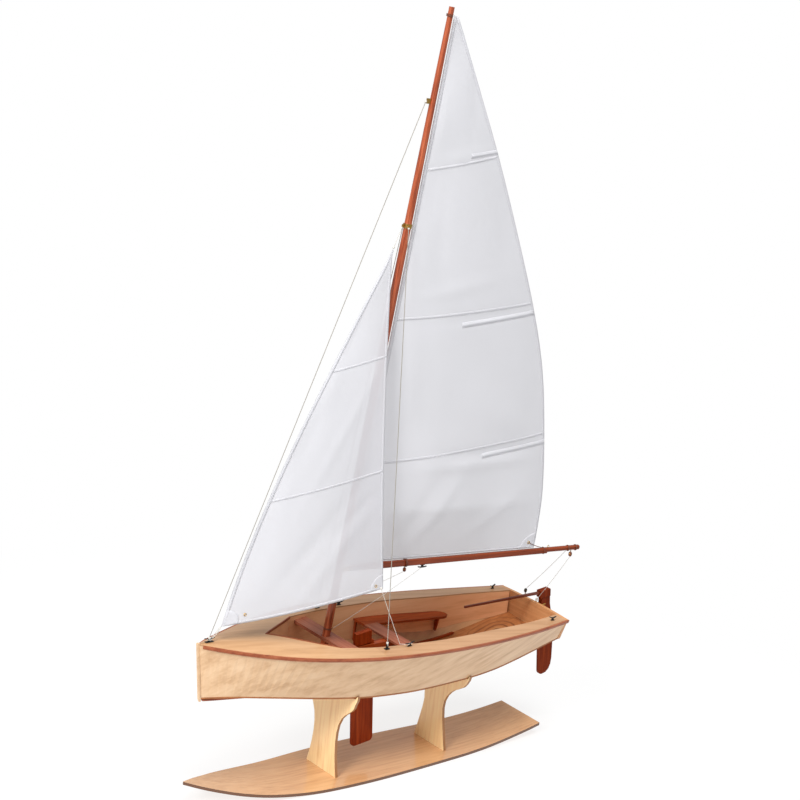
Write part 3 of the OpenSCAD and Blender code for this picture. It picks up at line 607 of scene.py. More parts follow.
def main_wrinkle(s, t):
    # soft folds of thin cloth: from the clew, along the lowest batten and near the head
    h = 0.0
    h += 0.55 * hump(s, t, 120, 110, 60, 5, 0.12)
    h -= 0.45 * hump(s, t, 128, 122, 55, 4.5, 0.12)
    h += 0.5 * hump(s, t, 84, 62, 44, 6, 1.1)
    h -= 0.45 * hump(s, t, 60, 52, 50, 7, 1.15)
    h += 0.4 * hump(s, t, 150, 60, 40, 7, 0.7)
    h -= 0.4 * hump(s, t, 96, 252, 50, 5, 0.16)
    h += 0.35 * hump(s, t, 60, 276, 40, 6, 0.3)
    h += 0.35 * hump(s, t, 40, 398, 30, 4, 0.3)
    h -= 0.30 * hump(s, t, 30, 330, 8, 60, 0.15)
    h += 0.25 * hump(s, t, 30, 190, 10, 70, 0.1)
    h += 0.4 * math.sin(t / 21.0 + s / 60.0) * math.exp(-((s - 8) / 13) ** 2)
    # slow pillows between the seams
    h += 0.30 * math.sin(s / 19.0 + 0.8 * math.sin(t / 47.0)) * math.sin(t / 33.0 + s / 70.0)
    h += 0.55 * hump(s, t, 150, 150, 40, 14, -0.5) - 0.5 * hump(s, t, 170, 200, 18, 40, 0.2)
    h += 0.5 * hump(s, t, 60, 150, 16, 60, 0.2) - 0.5 * hump(s, t, 110, 320, 16, 50, 0.45)
    h += 0.45 * hump(s, t, 128, 290, 22, 30, 0.2) - 0.4 * hump(s, t, 40, 460, 8, 40, 0.1)
    return 1.7 * h


def main_point(k, v, w):
    tl, te = 4.8 + k * 516, 24.8 + k * 496
    e = table(LEECH, te)
    s, t = 0.3 + (e - 0.3) * v, tl + (te - tl) * v
    c = CAMBER * e * 4 * v * (1 - v) * (1.25 - 0.5 * v) * min(1, k / 0.1) * (1.1 - 0.4 * k)
    fade = min(1, 6 * v, 6 * (1 - v)) * min(1, k / 0.04)
    return swing((-s, c + w + main_wrinkle(s, t) * fade, t))


def main_st(s, t, w=0.0):
    """point of the mainsail at s aft of the mast and t up from the boom's pin"""
    lo, hi = 0.0, 1.0
    for _ in range(40):
        k = (lo + hi) / 2
        tl, te = 4.8 + k * 516, 24.8 + k * 496
        e = table(LEECH, te)
        v = (s - 0.3) / max(1e-6, e - 0.3)
        if tl + (te - tl) * v < t:
            lo = k
        else:
            hi = k
    k = (lo + hi) / 2
    e = table(LEECH, 24.8 + k * 496)
    v = min(max((s - 0.3) / max(1e-6, e - 0.3), 0.0), 1.0)
    return main_point(k, v, w)


TACK = Vector((190, 0, 171.6))
JHEAD = Vector((38, 0, 514))
JCLEW = Vector((35, 37, 197.6))
J1 = (JHEAD - TACK).normalized()
JN = (JCLEW - TACK).cross(J1).normalized()
J2 = J1.cross(JN)
JL = (JHEAD - TACK).length
JS = (JCLEW - TACK).dot(J1)
JW = (JCLEW - TACK).dot(J2)


def jib_wrinkle(s, w):
    h = 0.45 * hump(s, w, 90, 70, 70, 7, 0.25)
    h -= 0.40 * hump(s, w, 110, 50, 70, 7, 0.3)
    h += 0.35 * hump(s, w, 200, 30, 60, 5, 0.1)
    h += 0.4 * hump(s, w, 40, 90, 8, 45, 0.2)
    h -= 0.3 * hump(s, w, 150, 80, 60, 6, 0.5)
    h += 0.35 * math.sin(s / 17.0) * math.exp(-(w / 9.0) ** 2)
    h += 0.35 * math.sin(w / 15.0 + s / 80.0) * math.sin(s / 41.0)
    return 1.8 * h


def jib_point(k, v, w):
    sl, b = k * JL, 4 * k * (1 - k) * 9 * (1.5 - k)
    se = JS + k * (JL - JS)
    we = JW * (1 - k) - 4 * k * (1 - k) * 3
    s, ww = sl + (se - sl) * v, -b + (max(we, 1.6) + b) * v
    c = CAMBER * 1.1 * (we + b) * 4 * v * (1 - v) * (1.25 - 0.5 * v) * (1.1 - 0.6 * k)
    fade = min(1, 6 * v, 6 * (1 - v)) * min(1, k / 0.05) * min(1, (1 - k) / 0.05)
    return TACK + J1 * s + J2 * ww + JN * (c + w + jib_wrinkle(s, ww) * fade)


def sheet_grid(point, nk, nv, th, k0=0.0, k1=1.0):
    ks = [k0 + (k1 - k0) * i / nk for i in range(nk + 1)]
    vs = [j / nv for j in range(nv + 1)]
    verts, faces = [], []
    m = nv + 1
    for side in (1, -1):
        for k in ks:
            for v in vs:
                verts.append(point(k, v, side * th / 2))
    n = (nk + 1) * m
    for i in range(nk):
        for j in range(nv):
            a = i * m + j
            faces.append((a, a + 1, a + m + 1, a + m))
            faces.append((n + a, n + a + m, n + a + m + 1, n + a + 1))
    for i in range(nk):
        faces.append((i * m, (i + 1) * m, n + (i + 1) * m, n + i * m))
        a = i * m + nv
        faces.append((a, n + a, n + a + m, a + m))
    for j in range(nv):
        faces.append((j, n + j, n + j + 1, j + 1))
        a = nk * m + j
        faces.append((a, a + 1, n + a + 1, n + a))
    return verts, faces


def flat_area(verts, faces, half):
    return sum(0.5 * abs(((verts[f[2]] - verts[f[0]]).cross(verts[f[3]] - verts[f[1]])).length)
               for f in faces[0:half:2])


SAIL_T = 0.36
mv, mf = sheet_grid(main_point, 120, 56, SAIL_T)
main = obj_from("mainsail_cloth", mv, mf, M["sailcloth"])
main_area = flat_area(mv, mf, 120 * 56 * 2) * 1e-6
jv, jf = sheet_grid(jib_point, 100, 44, SAIL_T, 0.003, 1.0)
jib = obj_from("jib_cloth", jv, jf, M["sailcloth"])
jib_area = flat_area(jv, jf, 100 * 44 * 2) * 1e-6


def band(mesh, pts_fn, n, width_dir, half_w, th):
    """strip that wraps the cloth: pts_fn(u, side_offset, w) -> point"""
    us = [i / n for i in range(n + 1)]
    cols = [-half_w, half_w]
    verts, faces = [], []
    prof = [(-half_w, -th), (half_w, -th), (half_w, th), (-half_w, th)]
    for u in us:
        for (o, w) in prof:
            verts.append(pts_fn(u, o, w))
    for i in range(n):
        for k in range(4):
            faces.append((i * 4 + k, i * 4 + (k + 1) % 4, (i + 1) * 4 + (k + 1) % 4, (i + 1) * 4 + k))
    faces.append((3, 2, 1, 0))
    faces.append(tuple(n * 4 + k for k in range(4)))
    mesh.add(verts, faces)


def main_strip(mesh, a, b, half_w, th, n=40, both=True):
    (s0, t0), (s1, t1) = a, b
    L = math.hypot(s1 - s0, t1 - t0)
    nx, nt_ = -(t1 - t0) / L, (s1 - s0) / L
    def fn(u, o, w):
        s, t = s0 + (s1 - s0) * u + nx * o, t0 + (t1 - t0) * u + nt_ * o
        return main_st(s, t, w)
    band(mesh, fn, n, None, half_w, th)


def jib_sw(s, w_, w=0.0):
    """point of the jib at s along the luff and w_ across it"""
    lo, hi = 0.0, 1.0
    for _ in range(40):
        k = (lo + hi) / 2
        sl, b = k * JL, 4 * k * (1 - k) * 9 * (1.5 - k)
        se = JS + k * (JL - JS)
        we = max(JW * (1 - k) - 4 * k * (1 - k) * 3, 1.6)
        v = (w_ + b) / max(1e-6, we + b)
        if sl + (se - sl) * v < s:
            lo = k
        else:
            hi = k
    k = (lo + hi) / 2
    b = 4 * k * (1 - k) * 9 * (1.5 - k)
    we = max(JW * (1 - k) - 4 * k * (1 - k) * 3, 1.6)
    v = min(max((w_ + b) / max(1e-6, we + b), 0.0), 1.0)
    return jib_point(k, v, w)


def jib_strip(mesh, a, b, half_w, th, n=30):
    (s0, t0), (s1, t1) = a, b
    L = math.hypot(s1 - s0, t1 - t0)
    nx, nt_ = -(t1 - t0) / L, (s1 - s0) / L
    def fn(u, o, w):
        s, t = s0 + (s1 - s0) * u + nx * o, t0 + (t1 - t0) * u + nt_ * o
        return jib_sw(s, t, w)
    band(mesh, fn, n, None, half_w, th)


def stitches(mesh, line_fn, length, th, gap=2.0, size=1.15):
    """a row of short stitches standing off both faces of the cloth"""
    n = int(length / gap)
    for i in range(n):
        u0, u1 = (i + 0.2) / n, (i + 0.2 + size / gap) / n
        if u1 > 1:
            break
        for side in (1, -1):
            a, b = line_fn(u0, side * th), line_fn(u1, side * th)
            mesh.tube([a, (a + b) / 2 + (line_fn((u0 + u1) / 2, side * (th + 0.05)) - line_fn((u0 + u1) / 2, side * th)), b],
                      0.11, 4)


# seams: an overlap of the panels with two rows of stitching
main_tape, main_stitch = Mesh(), Mesh()
SEAMS = [((4.4, 381.1), (76.0, 400.8)), ((3.4, 241.8), (154.0, 268.8)), ((3.0, 103.2), (195.5, 142.1))]
for a, b in SEAMS:
    main_strip(main_tape, a, b, 1.4, SAIL_T / 2 + 0.04)
    L = math.hypot(b[0] - a[0], b[1] - a[1])
    nx, ny = -(b[1] - a[1]) / L, (b[0] - a[0]) / L
    for o in (-1.1, 1.1):
        stitches(main_stitch, lambda u, w, a=a, b=b, o=o, nx=nx, ny=ny:
                 main_st(a[0] + (b[0] - a[0]) * u + nx * o, a[1] + (b[1] - a[1]) * u + ny * o, w),
                 L, SAIL_T / 2 + 0.09)
# batten pockets, with the batten's own thickness
POCKETS = [((70.2, 242.5), (152.4, 259.0), 2.6), ((121.0, 118.2), (198.2, 133.6), 2.6),
           ((46.0, 398.6), (78.0, 406.0), 2.2)]
for a, b, hw in POCKETS:
    main_strip(main_tape, a, b, hw, SAIL_T / 2 + 0.09, 30)
    L = math.hypot(b[0] - a[0], b[1] - a[1])
    nx, ny = -(b[1] - a[1]) / L, (b[0] - a[0]) / L
    for o in (-hw + 0.45, hw - 0.45):
        stitches(main_stitch, lambda u, w, a=a, b=b, o=o, nx=nx, ny=ny:
                 main_st(a[0] + (b[0] - a[0]) * u + nx * o, a[1] + (b[1] - a[1]) * u + ny * o, w),
                 L, SAIL_T / 2 + 0.12)


def edge_hem(mesh, point, fixed, at, width, th, n=90, along="k"):
    """folded hem along one edge of a sail"""
    verts, faces = [], []
    for i in range(n + 1):
        u = i / n
        for (d, w) in ((0.0, -th), (width, -th), (width, th), (0.0, th)):
            if along == "k":
                k = u
                L = (point(k, 1, 0) - point(k, 0, 0)).length
                f = min(0.5, d / max(L, 1e-3))
                v = 1 - f if at == 1 else f
                verts.append(point(k, v, w))
            else:
                v = u
                L = (point(1, v, 0) - point(0, v, 0)).length
                f = min(0.5, d / max(L, 1e-3))
                k = 1 - f if at == 1 else f
                verts.append(point(k, v, w))
    for i in range(n):
        for k in range(4):
            faces.append((i * 4 + k, i * 4 + (k + 1) % 4, (i + 1) * 4 + (k + 1) % 4, (i + 1) * 4 + k))
    faces.append((3, 2, 1, 0))
    faces.append(tuple(n * 4 + k for k in range(4)))
    mesh.add(verts, faces)


edge_hem(main_tape, main_point, None, 1, 3.0, SAIL_T / 2 + 0.045)
edge_hem(main_tape, main_point, None, 0, 3.4, SAIL_T / 2 + 0.09)
edge_hem(main_tape, main_point, None, 0, 3.0, SAIL_T / 2 + 0.075, 70, "v")
jib_tape, jib_stitch = Mesh(), Mesh()
jp = lambda k, v, w: jib_point(0.003 + 0.997 * k, v, w)
edge_hem(jib_tape, jp, None, 1, 2.6, SAIL_T / 2 + 0.045)
edge_hem(jib_tape, jp, None, 0, 3.2, SAIL_T / 2 + 0.09)
edge_hem(jib_tape, jp, None, 0, 2.8, SAIL_T / 2 + 0.075, 60, "v")


def hem_stitch(mesh, point, at, d, th, along="k", k0=0.0):
    N = 24
    pts = []
    length = 0
    prev = None
    for i in range(N + 1):
        u = i / N
        p = point(u, at, 0) if along == "k" else point(at, u, 0)
        if prev is not None:
            length += (p - prev).length
        prev = p
    def fn(u, w):
        if along == "k":
            L = max(1e-3, (point(u, 1, 0) - point(u, 0, 0)).length)
            f = min(0.5, d / L)
            return point(u, 1 - f if at == 1 else f, w)
        L = max(1e-3, (point(1, u, 0) - point(0, u, 0)).length)
        f = min(0.5, d / L)
        return point(1 - f if at == 1 else f, u, w)
    stitches(mesh, fn, length, th, 2.6, 1.5)


hem_stitch(main_stitch, main_point, 1, 2.5, SAIL_T / 2 + 0.1)
hem_stitch(main_stitch, main_point, 0, 2.8, SAIL_T / 2 + 0.12)
hem_stitch(main_stitch, main_point, 0, 2.4, SAIL_T / 2 + 0.1, "v")
hem_stitch(jib_stitch, jp, 1, 2.1, SAIL_T / 2 + 0.1)
hem_stitch(jib_stitch, jp, 0, 2.6, SAIL_T / 2 + 0.12)
hem_stitch(jib_stitch, jp, 0, 2.2, SAIL_T / 2 + 0.1, "v")


# jib seams: from the luff to the leech, found from the photo's lines in the sail's own plane
def jib_line(k0, v0, k1, v1, hw=1.4):
    def fn(u, o, w):
        k, v = k0 + (k1 - k0) * u, v0 + (v1 - v0) * u
        dk = o / JL
        return jp(k + dk, v, w)
    band(jib_tape, fn, 34, None, hw, SAIL_T / 2 + 0.06)
    L = (fn(1, 0, 0) - fn(0, 0, 0)).length
    for o in (-hw + 0.35, hw - 0.35):
        stitches(jib_stitch, lambda u, w, o=o: fn(u, o, w), L, SAIL_T / 2 + 0.09)


JIB_SEAMS = [(0.668, 0.012, 0.690, 0.985), (0.322, 0.008, 0.352, 0.988)]
for q in JIB_SEAMS:
    jib_line(*q)


# corner patches: three layers of cloth with a metal eyelet
def patch(mesh, point, corner, size, th, n=10):
    ck, cv = corner
    base_v = (point(ck, 1, 0) - point(ck, 0, 0)).length
    base_k = (point(1, cv, 0) - point(0, cv, 0)).length
    verts, faces = [], []
    rows = []
    for i in range(n + 1):
        r = size * i / n
        row = []
        for j in range(n + 1):
            a = math.pi / 2 * j / n
            k = ck + (1 if ck == 0 else -1) * min(0.6, r * math.cos(a) / base_k)
            kk = min(max(k, 0), 1)
            bv = max(2.0, (point(kk, 1, 0) - point(kk, 0, 0)).length)
            v = cv + (1 if cv == 0 else -1) * min(1.0, r * math.sin(a) / bv)
            row.append((kk, min(max(v, 0), 1)))
        rows.append(row)
    m = n + 1
    for side in (1, -1):
        for row in rows:
            for k, v in row:
                verts.append(point(k, v, side * th))
    N = m * m
    for i in range(n):
        for j in range(n):
            a = i * m + j
            faces.append((a, a + 1, a + m + 1, a + m))
            faces.append((N + a, N + a + m, N + a + m + 1, N + a + 1))
    for j in range(n):
        a = n * m + j
        faces.append((a, a + 1, N + a + 1, N + a))
    for i in range(n):
        a = i * m
        faces.append((a, a + m, N + a + m, N + a))
        a = i * m + n
        faces.append((a, N + a, N + a + m, a + m))
    mesh.add(verts, faces)


patch(main_tape, main_point, (0, 1), 17, SAIL_T / 2 + 0.12)
patch(main_tape, main_point, (0, 0), 14, SAIL_T / 2 + 0.12)
patch(jib_tape, jp, (0, 1), 14, SAIL_T / 2 + 0.12)
patch(jib_tape, jp, (0, 0), 15, SAIL_T / 2 + 0.12)


def frame_at(point, k, v, e=0.004):
    p = point(k, v, 0)
    n = (point(k, v, 1) - point(k, v, -1)).normalized()
    return p, n


eyelets_main, eyelets_jib = Mesh(), Mesh()
for k, v in ((0.012, 0.965), (0.012, 0.02)):
    p, n = frame_at(main_point, k, v)
    for s in (1, -1):
        eyelets_main.torus(p + n * s * 0.28, n, 1.25, 0.34, 18, 7)
for k, v in ((0.014, 0.95), (0.022, 0.12)):
    p, n = frame_at(jp, k, v)
    for s in (1, -1):
        eyelets_jib.torus(p + n * s * 0.28, n, 1.15, 0.32, 18, 7)

tape_m = main_tape.make("mainsail_seams_and_hems", M["sail_tape"])
stitch_m = main_stitch.make("mainsail_stitching", M["stitch"])
eye_m = eyelets_main.make("mainsail_eyelets", M["brass"])
tape_j = jib_tape.make("jib_seams_and_hems", M["sail_tape"])
stitch_j = jib_stitch.make("jib_stitching", M["stitch"])
eye_j = eyelets_jib.make("jib_eyelets", M["brass"])

for o in (main, tape_m, stitch_m, eye_m):
    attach(o, "boom_and_sail")
for o in (jib, tape_j, stitch_j, eye_j):
    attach(o, "hull")
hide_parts("mainsail")
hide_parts("jib")
for o in (tape_m, tape_j, stitch_m, stitch_j):
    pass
for o in (eye_m, eye_j):
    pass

print("AREAS", round(main_area, 5), round(jib_area, 5))

# ---------------------------------------------------------------- rigging and small fittings
thread = Mesh()        # on the hull
thread_b = Mesh()      # on boom and sail
black, brass_h, brass_b, dark_b = Mesh(), Mesh(), Mesh(), Mesh()


def deck_z(x, y):
    sheer_z = [[-202, 132.4], [-161, 133.6], [-119, 135.5], [-78, 137.7], [-36, 140],
               [5, 142.1], [47, 144.3], [88, 146.7], [130, 149.6], [172, 153.8], [213, 159.6]]
    sheer_y = [[-202, 48.6], [-161, 57.3], [-119, 64.2], [-78, 69.2], [-36, 71.8],
               [5, 71.5], [47, 67.6], [88, 59.2], [130, 45.4], [172, 25.2], [213, 1.2]]
    crown = [[-202, 1.5], [-100, 2], [0, 2.6], [80, 4], [136, 6.5], [180, 4], [213, 0.3]]
    return table(sheer_z, x) + table(crown, x) * (1 - (y / table(sheer_y, x)) ** 2)


# jib: tack lanyard to the bow fitting, with its knots
bow = Vector((201.5, 0, deck_z(201.5, 0)))
thread.laid(spline([TACK + Vector((-0.5, 0, 1.0)), TACK + Vector((2.2, 0.4, -3.0)), bow + Vector((-2.6, 0.3, 3.2))], 8), 0.42)
thread.laid(spline([TACK + Vector((0.8, -0.5, 0.4)), TACK + Vector((3.4, -0.5, -2.6)), bow + Vector((-1.6, -0.4, 3.4))], 8), 0.38)
knot(thread, TACK + Vector((3.2, 0, -3.4)), 0.8, (0.4, 0, -1))
knot(thread, bow + Vector((0, 0, 4.0)), 0.8)
for dy in (-0.5, 0.5):
    thread.laid([bow + Vector((-3.0, dy, 3.2)), bow + Vector((0, dy * 2.4, 1.9)), bow + Vector((3.0, dy, 3.2))], 0.36)
# jib: head to the mast band
head_j = JHEAD + J1 * 0.6
band_c = rig((5.6, 0, 449.4))
thread.laid([head_j, band_c], 0.4)
knot(thread, head_j + J1 * 1.6, 0.7, J1)
# mast rope: head of the mainsail is tied round the mast
brown = Mesh()
for z, r in ((640.6, 2.9), (641.5, 2.9), (642.4, 2.9)):
    c = rig((-0.6, 0, z))
    brown.torus(c, rig((0, 0, z + 1)) - rig((0, 0, z)), r, 0.36, 26, 6)

mast_half = 3.0


# jib sheet, port: clew to the block on the deck, then to the cleat
clew_j = jib_point(0.01, 0.985, 0)
cl = Vector((10, 55, deck_z(10, 55)))
lead = Vector((19.5, 52.0, deck_z(19.5, 52.0) + 0.4))
path = sagging(clew_j, lead + Vector((0, 0, 1.6)), 0.6, 20)
thread.laid(path, 0.32)
thread.laid(spline([lead + Vector((0, 0, 1.6)), lead + Vector((-3.4, 1.0, 1.2)), cl + Vector((3.4, 0, 2.0))], 8), 0.32)
# turns on the horn cleats
def cleat_turns(mesh, x, y, ang, l, turns=3):
    c = Vector((x, y, deck_z(x, y) + 0.12))
    a = math.radians(ang)
    d, e = Vector((math.cos(a), math.sin(a), 0)), Vector((-math.sin(a), math.cos(a), 0))
    pts = []
    for i in range(turns * 24 + 1):
        t = i / 24 * 2 * math.pi
        r = 1 + 0.0 * t
        pts.append(c + d * (l * 0.30 * math.sin(t)) + e * (1.15 * math.sin(2 * t)) + Vector((0, 0, 2.3 + 0.55 * math.cos(2 * t) + 0.22 * i / 24)))
    mesh.laid(pts, 0.28)


cleat_turns(thread, 10, 55, 4, 11, 1)
knot(thread, clew_j + Vector((-0.4, 0.2, -1.4)), 0.85, (-0.2, 0.3, -1))
# path for the loose end of the sheet into the cockpit, computed but not drawn
end = spline([cl + Vector((-3, -1.5, 2.0)), cl + Vector((-9, -6.4, 0.6)), cl + Vector((-13, -8.6, -9)), cl + Vector((-17, -9.8, -22))], 12)


# small blocks (pulleys) with two cheeks, a wheel and an eye
def block(c, d, side, size=1.0, wood_=None, metal_=None):
    """c centre, d the direction its eye points, side the pin's direction"""
    wood_ = wood_ or dark_b
    metal_ = metal_ or brass_b
    c, d, side = Vector(c), Vector(d).normalized(), Vector(side).normalized()
    side = (side - d * side.dot(d)).normalized()
    up = d.cross(side)
    for s in (-1, 1):
        n = 18
        verts, faces = [], []
        prof = [(0.0, 0.70), (0.28, 1.0), (0.62, 1.0), (0.9, 0.72)]
        for h, f in prof:
            for k in range(n):
                a = 2 * math.pi * k / n
                verts.append(c + side * s * (0.42 + h * 0.8) * size
                             + d * math.cos(a) * 2.5 * f * size + up * math.sin(a) * 1.75 * f * size)
        for i in range(3):
            for k in range(n):
                faces.append((i * n + k, i * n + (k + 1) % n, (i + 1) * n + (k + 1) % n, (i + 1) * n + k))
        faces.append(tuple(reversed(range(n))))
        faces.append(tuple(3 * n + k for k in range(n)))
        wood_.add(verts, faces)
    metal_.lathe(c - side * 1.35 * size, side, [(0, 0.45 * size), (2.7 * size, 0.45 * size)], 12)
    metal_.lathe(c - side * 0.36 * size, side, [(0, 1.5 * size), (0.2 * size, 1.2 * size), (0.52 * size, 1.2 * size), (0.72 * size, 1.5 * size)], 18)
    metal_.torus(c + d * 3.0 * size, side, 0.8 * size, 0.26 * size, 16, 6)


# --- boom fittings
Y = Vector((0, 1, 0))
p_end = boom_at(262.0, 0, -2.2)
p_mid = boom_at(254.0, 0, -2.2)
for d in (252.9, 253.6, 261.9, 262.6):
    c = boom_at(d, 0, 0.45)
    ax = boom_at(d + 1, 0, 0) - boom_at(d, 0, 0)
    thread_b.torus(c, ax, 2.75, 0.34, 24, 6)
b1 = boom_at(257.5, 0.0, -6.4)
block(b1, boom_at(257.5, 0, 0) - b1, Y, 0.95)
thread_b.laid([b1 + (boom_at(257.5, 0, 0) - b1).normalized() * 2.9, boom_at(257.5, 0, -2.3)], 0.36)
# clew of the mainsail tied to the boom end
clew_m = main_point(0.012, 0.965, 0)
for o in (-0.5, 0.5):
    thread_b.laid(spline([clew_m + Vector((0, o, 0)), (clew_m + boom_at(222, 0, 3)) / 2 + Vector((0, o, -0.5)), boom_at(224, 0, 2.6)], 8), 0.36)
for d in (224.0,):
    ax = boom_at(d + 1, 0, 0) - boom_at(d, 0, 0)
    thread_b.torus(boom_at(d, 0, 0.1), ax, 3.35, 0.34, 24, 6)
# outhaul eye at the step of the boom
brass_b.torus(boom_at(229.6, 0, 3.9), Y, 1.15, 0.3, 16, 6)

# vang: a block under the boom, a horn cleat beyond it
bx = (boom_at(67, 0, 0) - boom_at(66, 0, 0)).normalized()
bz = (boom_at(66, 0, 1) - boom_at(66, 0, 0)).normalized()
vb = boom_at(66.5, 0, -6.9)
block(vb, bz, Y, 0.85)
for d in (65.8, 66.5, 67.2):
    thread_b.torus(boom_at(d, 0, 0.0), bx, 3.75, 0.34, 24, 6, 1.0)
cb = boom_at(86, 0, -3.5)
black_b = Mesh()
black_b.slab(cb, bx, Y, bz, 4.6, 1.7, 0.7, 0.2)
black_b.slab(cb - bz * 1.2, bx, Y, bz, 2.4, 1.2, 1.9, 0.25)
black_b.tube(spline([cb - bz * 1.9 - bx * 4.6, cb - bz * 2.4 - bx * 1.6, cb - bz * 2.4 + bx * 1.6, cb - bz * 1.9 + bx * 4.6], 6), 0.62, 10)
vang_top = vb - bz * 1.6
vang_foot = rig((-5.6, 0, 89))
brass_h.torus(rig((-4.7, 0, 89)), (0, 1, 0), 1.15, 0.28, 16, 6)
for z in (88.2, 89, 89.8):
    brown.torus(rig((0, 0, z)), rig((0, 0, 1)) - rig((0, 0, 0)), 3.75, 0.34, 28, 6, 0.95)
fall_top = cb - bz * 2.4
fall_foot = rig((-5.6, 1.0, 62))
for z in (61.6, 62.4):
    brown.torus(rig((0, 0, z)), rig((0, 0, 1)) - rig((0, 0, 0)), 3.75, 0.34, 28, 6, 0.95)
brass_h.torus(rig((-4.7, 0, 62)), (0, 1, 0), 1.15, 0.28, 16, 6)

# --- mainsheet: from the boom's end to the transom
blk = Vector((-197.6, -12.4, 141.4))
black_h = Mesh()
block(blk, (0.1, 0.1, -1), (0, 1, 0), 0.85, black_h, brass_h)
brass_h.torus(Vector((-199.2, -12.4, 135.2)), (0, 1, 0), 1.1, 0.28, 16, 6)
thread.laid([Vector((-199.2, -12.4, 135.6)), blk + Vector((-0.3, 0, -2.6))], 0.36)
ctr = Vector((-199.2, 3.4, 136.0))
brass_h.torus(ctr, (0, 1, 0), 1.1, 0.28, 16, 6)
knot(thread, ctr + Vector((0, 0, 1.5)), 0.8)

# ---------------------------------------------------------------- hull dressing
pins = Mesh()
# shroud lashings and chainplate pins on the sheer
shroud_foot = (37.0, 54.5)
for s in (1, -1):
    f = Vector((shroud_foot[0], s * shroud_foot[1], deck_z(*shroud_foot)))
    top = rig((1.6, s * 4.2, 448.5))
    d = (top - (f + Vector((0, 0, 5.2)))).normalized()
    knot(thread, f + Vector((0, 0, 5.0)) + d * 1.2, 0.75, d)
    thread.laid([f + Vector((0, 0.9 * s, 3.4)), f + Vector((0.3, 1.2 * s, 4.6)), f + Vector((0, 0, 5.4))], 0.34)
    thread.laid([f + Vector((0, -0.9 * s, 3.4)), f + Vector((-0.3, -1.2 * s, 4.6)), f + Vector((0, 0, 5.4))], 0.34)
    knot(thread, top + Vector((0, 0, -0.4)), 0.62, d)
    black.lathe(f + Vector((-1.7, 0, 0.85)), (0, 0, 1), [(0, 0.7), (0.25, 0.62), (0.4, 0.3)], 12)
    black.lathe(f + Vector((1.7, 0, 0.85)), (0, 0, 1), [(0, 0.7), (0.25, 0.62), (0.4, 0.3)], 12)
fs = rig((7.2, 0, 563.8))
fdir = (bow + Vector((0, 0, 5)) - fs).normalized()
knot(thread, fs + fdir * 0.8, 0.7, fdir)

o_thread = thread.make("hull_lashings_and_sheets", M["cord_white"])
o_thread_b = thread_b.make("boom_lashings", M["thread_brown"])
o_brown = brown.make("mast_lashings", M["thread_brown"])
o_black = black.make("chainplate_pins", M["black_fittings"])
o_black_b = black_b.make("boom_cleat", M["black_fittings"])
o_black_h = black_h.make("transom_block", M["black_fittings"])
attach(o_black_b, "boom_and_sail")
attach(o_black_h, "hull")
o_brass_h = brass_h.make("transom_eyes", M["brass"])
o_brass_b = brass_b.make("boom_block_metal", M["brass"])
o_dark_b = dark_b.make("boom_blocks", M["tiller_wood"])
for o in (o_thread, o_brown, o_black, o_brass_h):
    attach(o, "hull")
for o in (o_thread_b, o_brass_b, o_dark_b):
    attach(o, "boom_and_sail")
for o, s in ((o_thread, "stay_thread"), (o_brown, "stay_thread"), (o_thread_b, "stay_thread"), (o_black, "black_fittings"),
             (o_brass_h, "brass"), (o_brass_b, "brass"), (o_dark_b, "bench_wood")):
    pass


def blended_line(name, pts, r):
    ms = Mesh()
    ms.laid(pts, r, None, 0.8)
    o = ms.make(name, M["cord_white"])
    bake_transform(o)
    return o


# running lines between the boom and the hull
def running(name, hull_end, boom_end, r=0.36, sag=1.0):
    return blended_line(name, sagging(hull_end, boom_end, sag, 24), r)


running("mainsheet_part_a", blk + Vector((0.2, 0, 1.6)), boom_at(251.5, 0, -2.4), 0.28, 0.8)
running("mainsheet_part_b", ctr + Vector((0, 0, 1.2)), boom_at(258.4, 0, -7.6), 0.28, 1.2)
vang = Mesh()
vang.laid(sagging(vang_foot, vang_top, 0.8, 24), 0.28, None, 0.8)
o_vang = vang.make("vang_line", M["cord_white"])
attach(o_vang, "boom_and_sail")
fall = Mesh()
fall.laid(sagging(fall_foot, fall_top, 1.5, 24), 0.26, None, 0.8)
o_fall = fall.make("vang_fall", M["cord_white"])
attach(o_fall, "boom_and_sail")

# ---------------------------------------------------------------- stage, light, camera
bm = bmesh.new()
for k in range(64):
    a = 2 * math.pi * k / 64
    bm.verts.new((0.66 * math.cos(a), 0.66 * math.sin(a), -0.0004))
bm.faces.new(bm.verts)
me = bpy.data.meshes.new("floor")
bm.to_mesh(me)
bm.free()
floor = bpy.data.objects.new("floor", me)
bpy.context.scene.collection.objects.link(floor)
fm, fnt, fb = new_mat("floor")
fb.inputs["Base Color"].default_value = (0.93, 0.93, 0.93, 1)
fb.inputs["Roughness"].default_value = 0.9
fb.inputs["Specular IOR Level"].default_value = 0.0
me.materials.append(fm)
ftc = fnt.nodes.new("ShaderNodeTexCoord")
fln = fnt.nodes.new("ShaderNodeVectorMath")
fln.operation = "LENGTH"
fnt.links.new(ftc.outputs["Object"], fln.inputs[0])
fmr = fnt.nodes.new("ShaderNodeMapRange")
fmr.interpolation_type = "SMOOTHSTEP"
fmr.inputs["From Min"].default_value = 0.22
fmr.inputs["From Max"].default_value = 0.62
fmr.inputs["To Min"].default_value = 0.78
fnt.links.new(fln.outputs["Value"], fmr.inputs["Value"])
fem = fnt.nodes.new("ShaderNodeEmission")
fem.inputs[0].default_value = (1, 1, 1, 1)
fem.inputs[1].default_value = 1.0
fmx = fnt.nodes.new("ShaderNodeMixShader")
fnt.links.new(fmr.outputs[0], fmx.inputs[0])
fnt.links.new(fb.outputs[0], fmx.inputs[1])
fnt.links.new(fem.outputs[0], fmx.inputs[2])
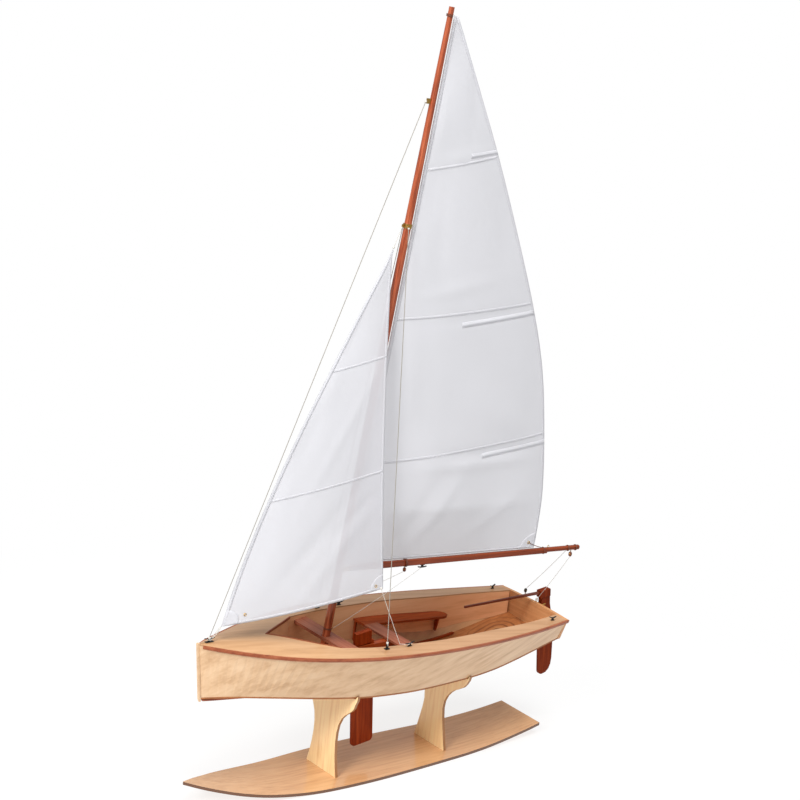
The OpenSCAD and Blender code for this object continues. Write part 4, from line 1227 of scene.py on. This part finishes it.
fnt.links.new(fmx.outputs[0], [n for n in fnt.nodes if n.type == "OUTPUT_MATERIAL"][0].inputs[0])

world = bpy.data.worlds.new("w")
bpy.context.scene.world = world
world.use_nodes = True
wn = world.node_tree
bg = wn.nodes["Background"]
bg.inputs[0].default_value = (1.0, 1.0, 1.0, 1)
bg.inputs[1].default_value = 0.44
seen = wn.nodes.new("ShaderNodeBackground")
seen.inputs[0].default_value = (1.0, 1.0, 1.0, 1)
seen.inputs[1].default_value = 1.0
lp = wn.nodes.new("ShaderNodeLightPath")
wm = wn.nodes.new("ShaderNodeMixShader")
wn.links.new(lp.outputs["Is Camera Ray"], wm.inputs[0])
wn.links.new(bg.outputs[0], wm.inputs[1])
wn.links.new(seen.outputs[0], wm.inputs[2])
wn.links.new(wm.outputs[0], wn.nodes["World Output"].inputs[0])


def area(name, loc, target, size, power, size_y=None):
    L = bpy.data.lights.new(name, "AREA")
    L.shape = "RECTANGLE" if size_y else "SQUARE"
    L.size = size
    if size_y:
        L.size_y = size_y
    L.energy = power
    o = bpy.data.objects.new(name, L)
    o.location = loc
    o.rotation_mode = "QUATERNION"
    o.rotation_quaternion = (Vector(target) - Vector(loc)).to_track_quat("-Z", "Y")
    bpy.context.scene.collection.objects.link(o)
    return o


area("key", (2.25, 0.62, 1.75), (0, 0, 0.25), 0.9, 60, 0.9)
area("top", (0.15, 0.7, 2.4), (0, 0, 0.2), 1.3, 46)

cam_d = bpy.data.cameras.new("camera")
cam = bpy.data.objects.new("camera", cam_d)
bpy.context.scene.collection.objects.link(cam)
bpy.context.scene.camera = cam
cam_d.sensor_width = 36.0
cam_d.lens = 36.0 * 2348.124 / 800.0
cam_d.clip_start, cam_d.clip_end = 0.05, 50
r_ = Vector((-0.773912, 0.623812, 0.109174))
u_ = Vector((-0.097926, -0.288196, 0.952551))
f_ = Vector((-0.625676, -0.7265, -0.284126))
mat = Matrix((r_, u_, -f_)).transposed().to_4x4()
mat.translation = Vector((1.370434, 1.580999, 0.987090))
cam.matrix_world = mat

vs_ = bpy.context.scene.view_settings
vs_.view_transform = "Standard"
vs_.exposure = 0.0

bpy.context.view_layer.update()
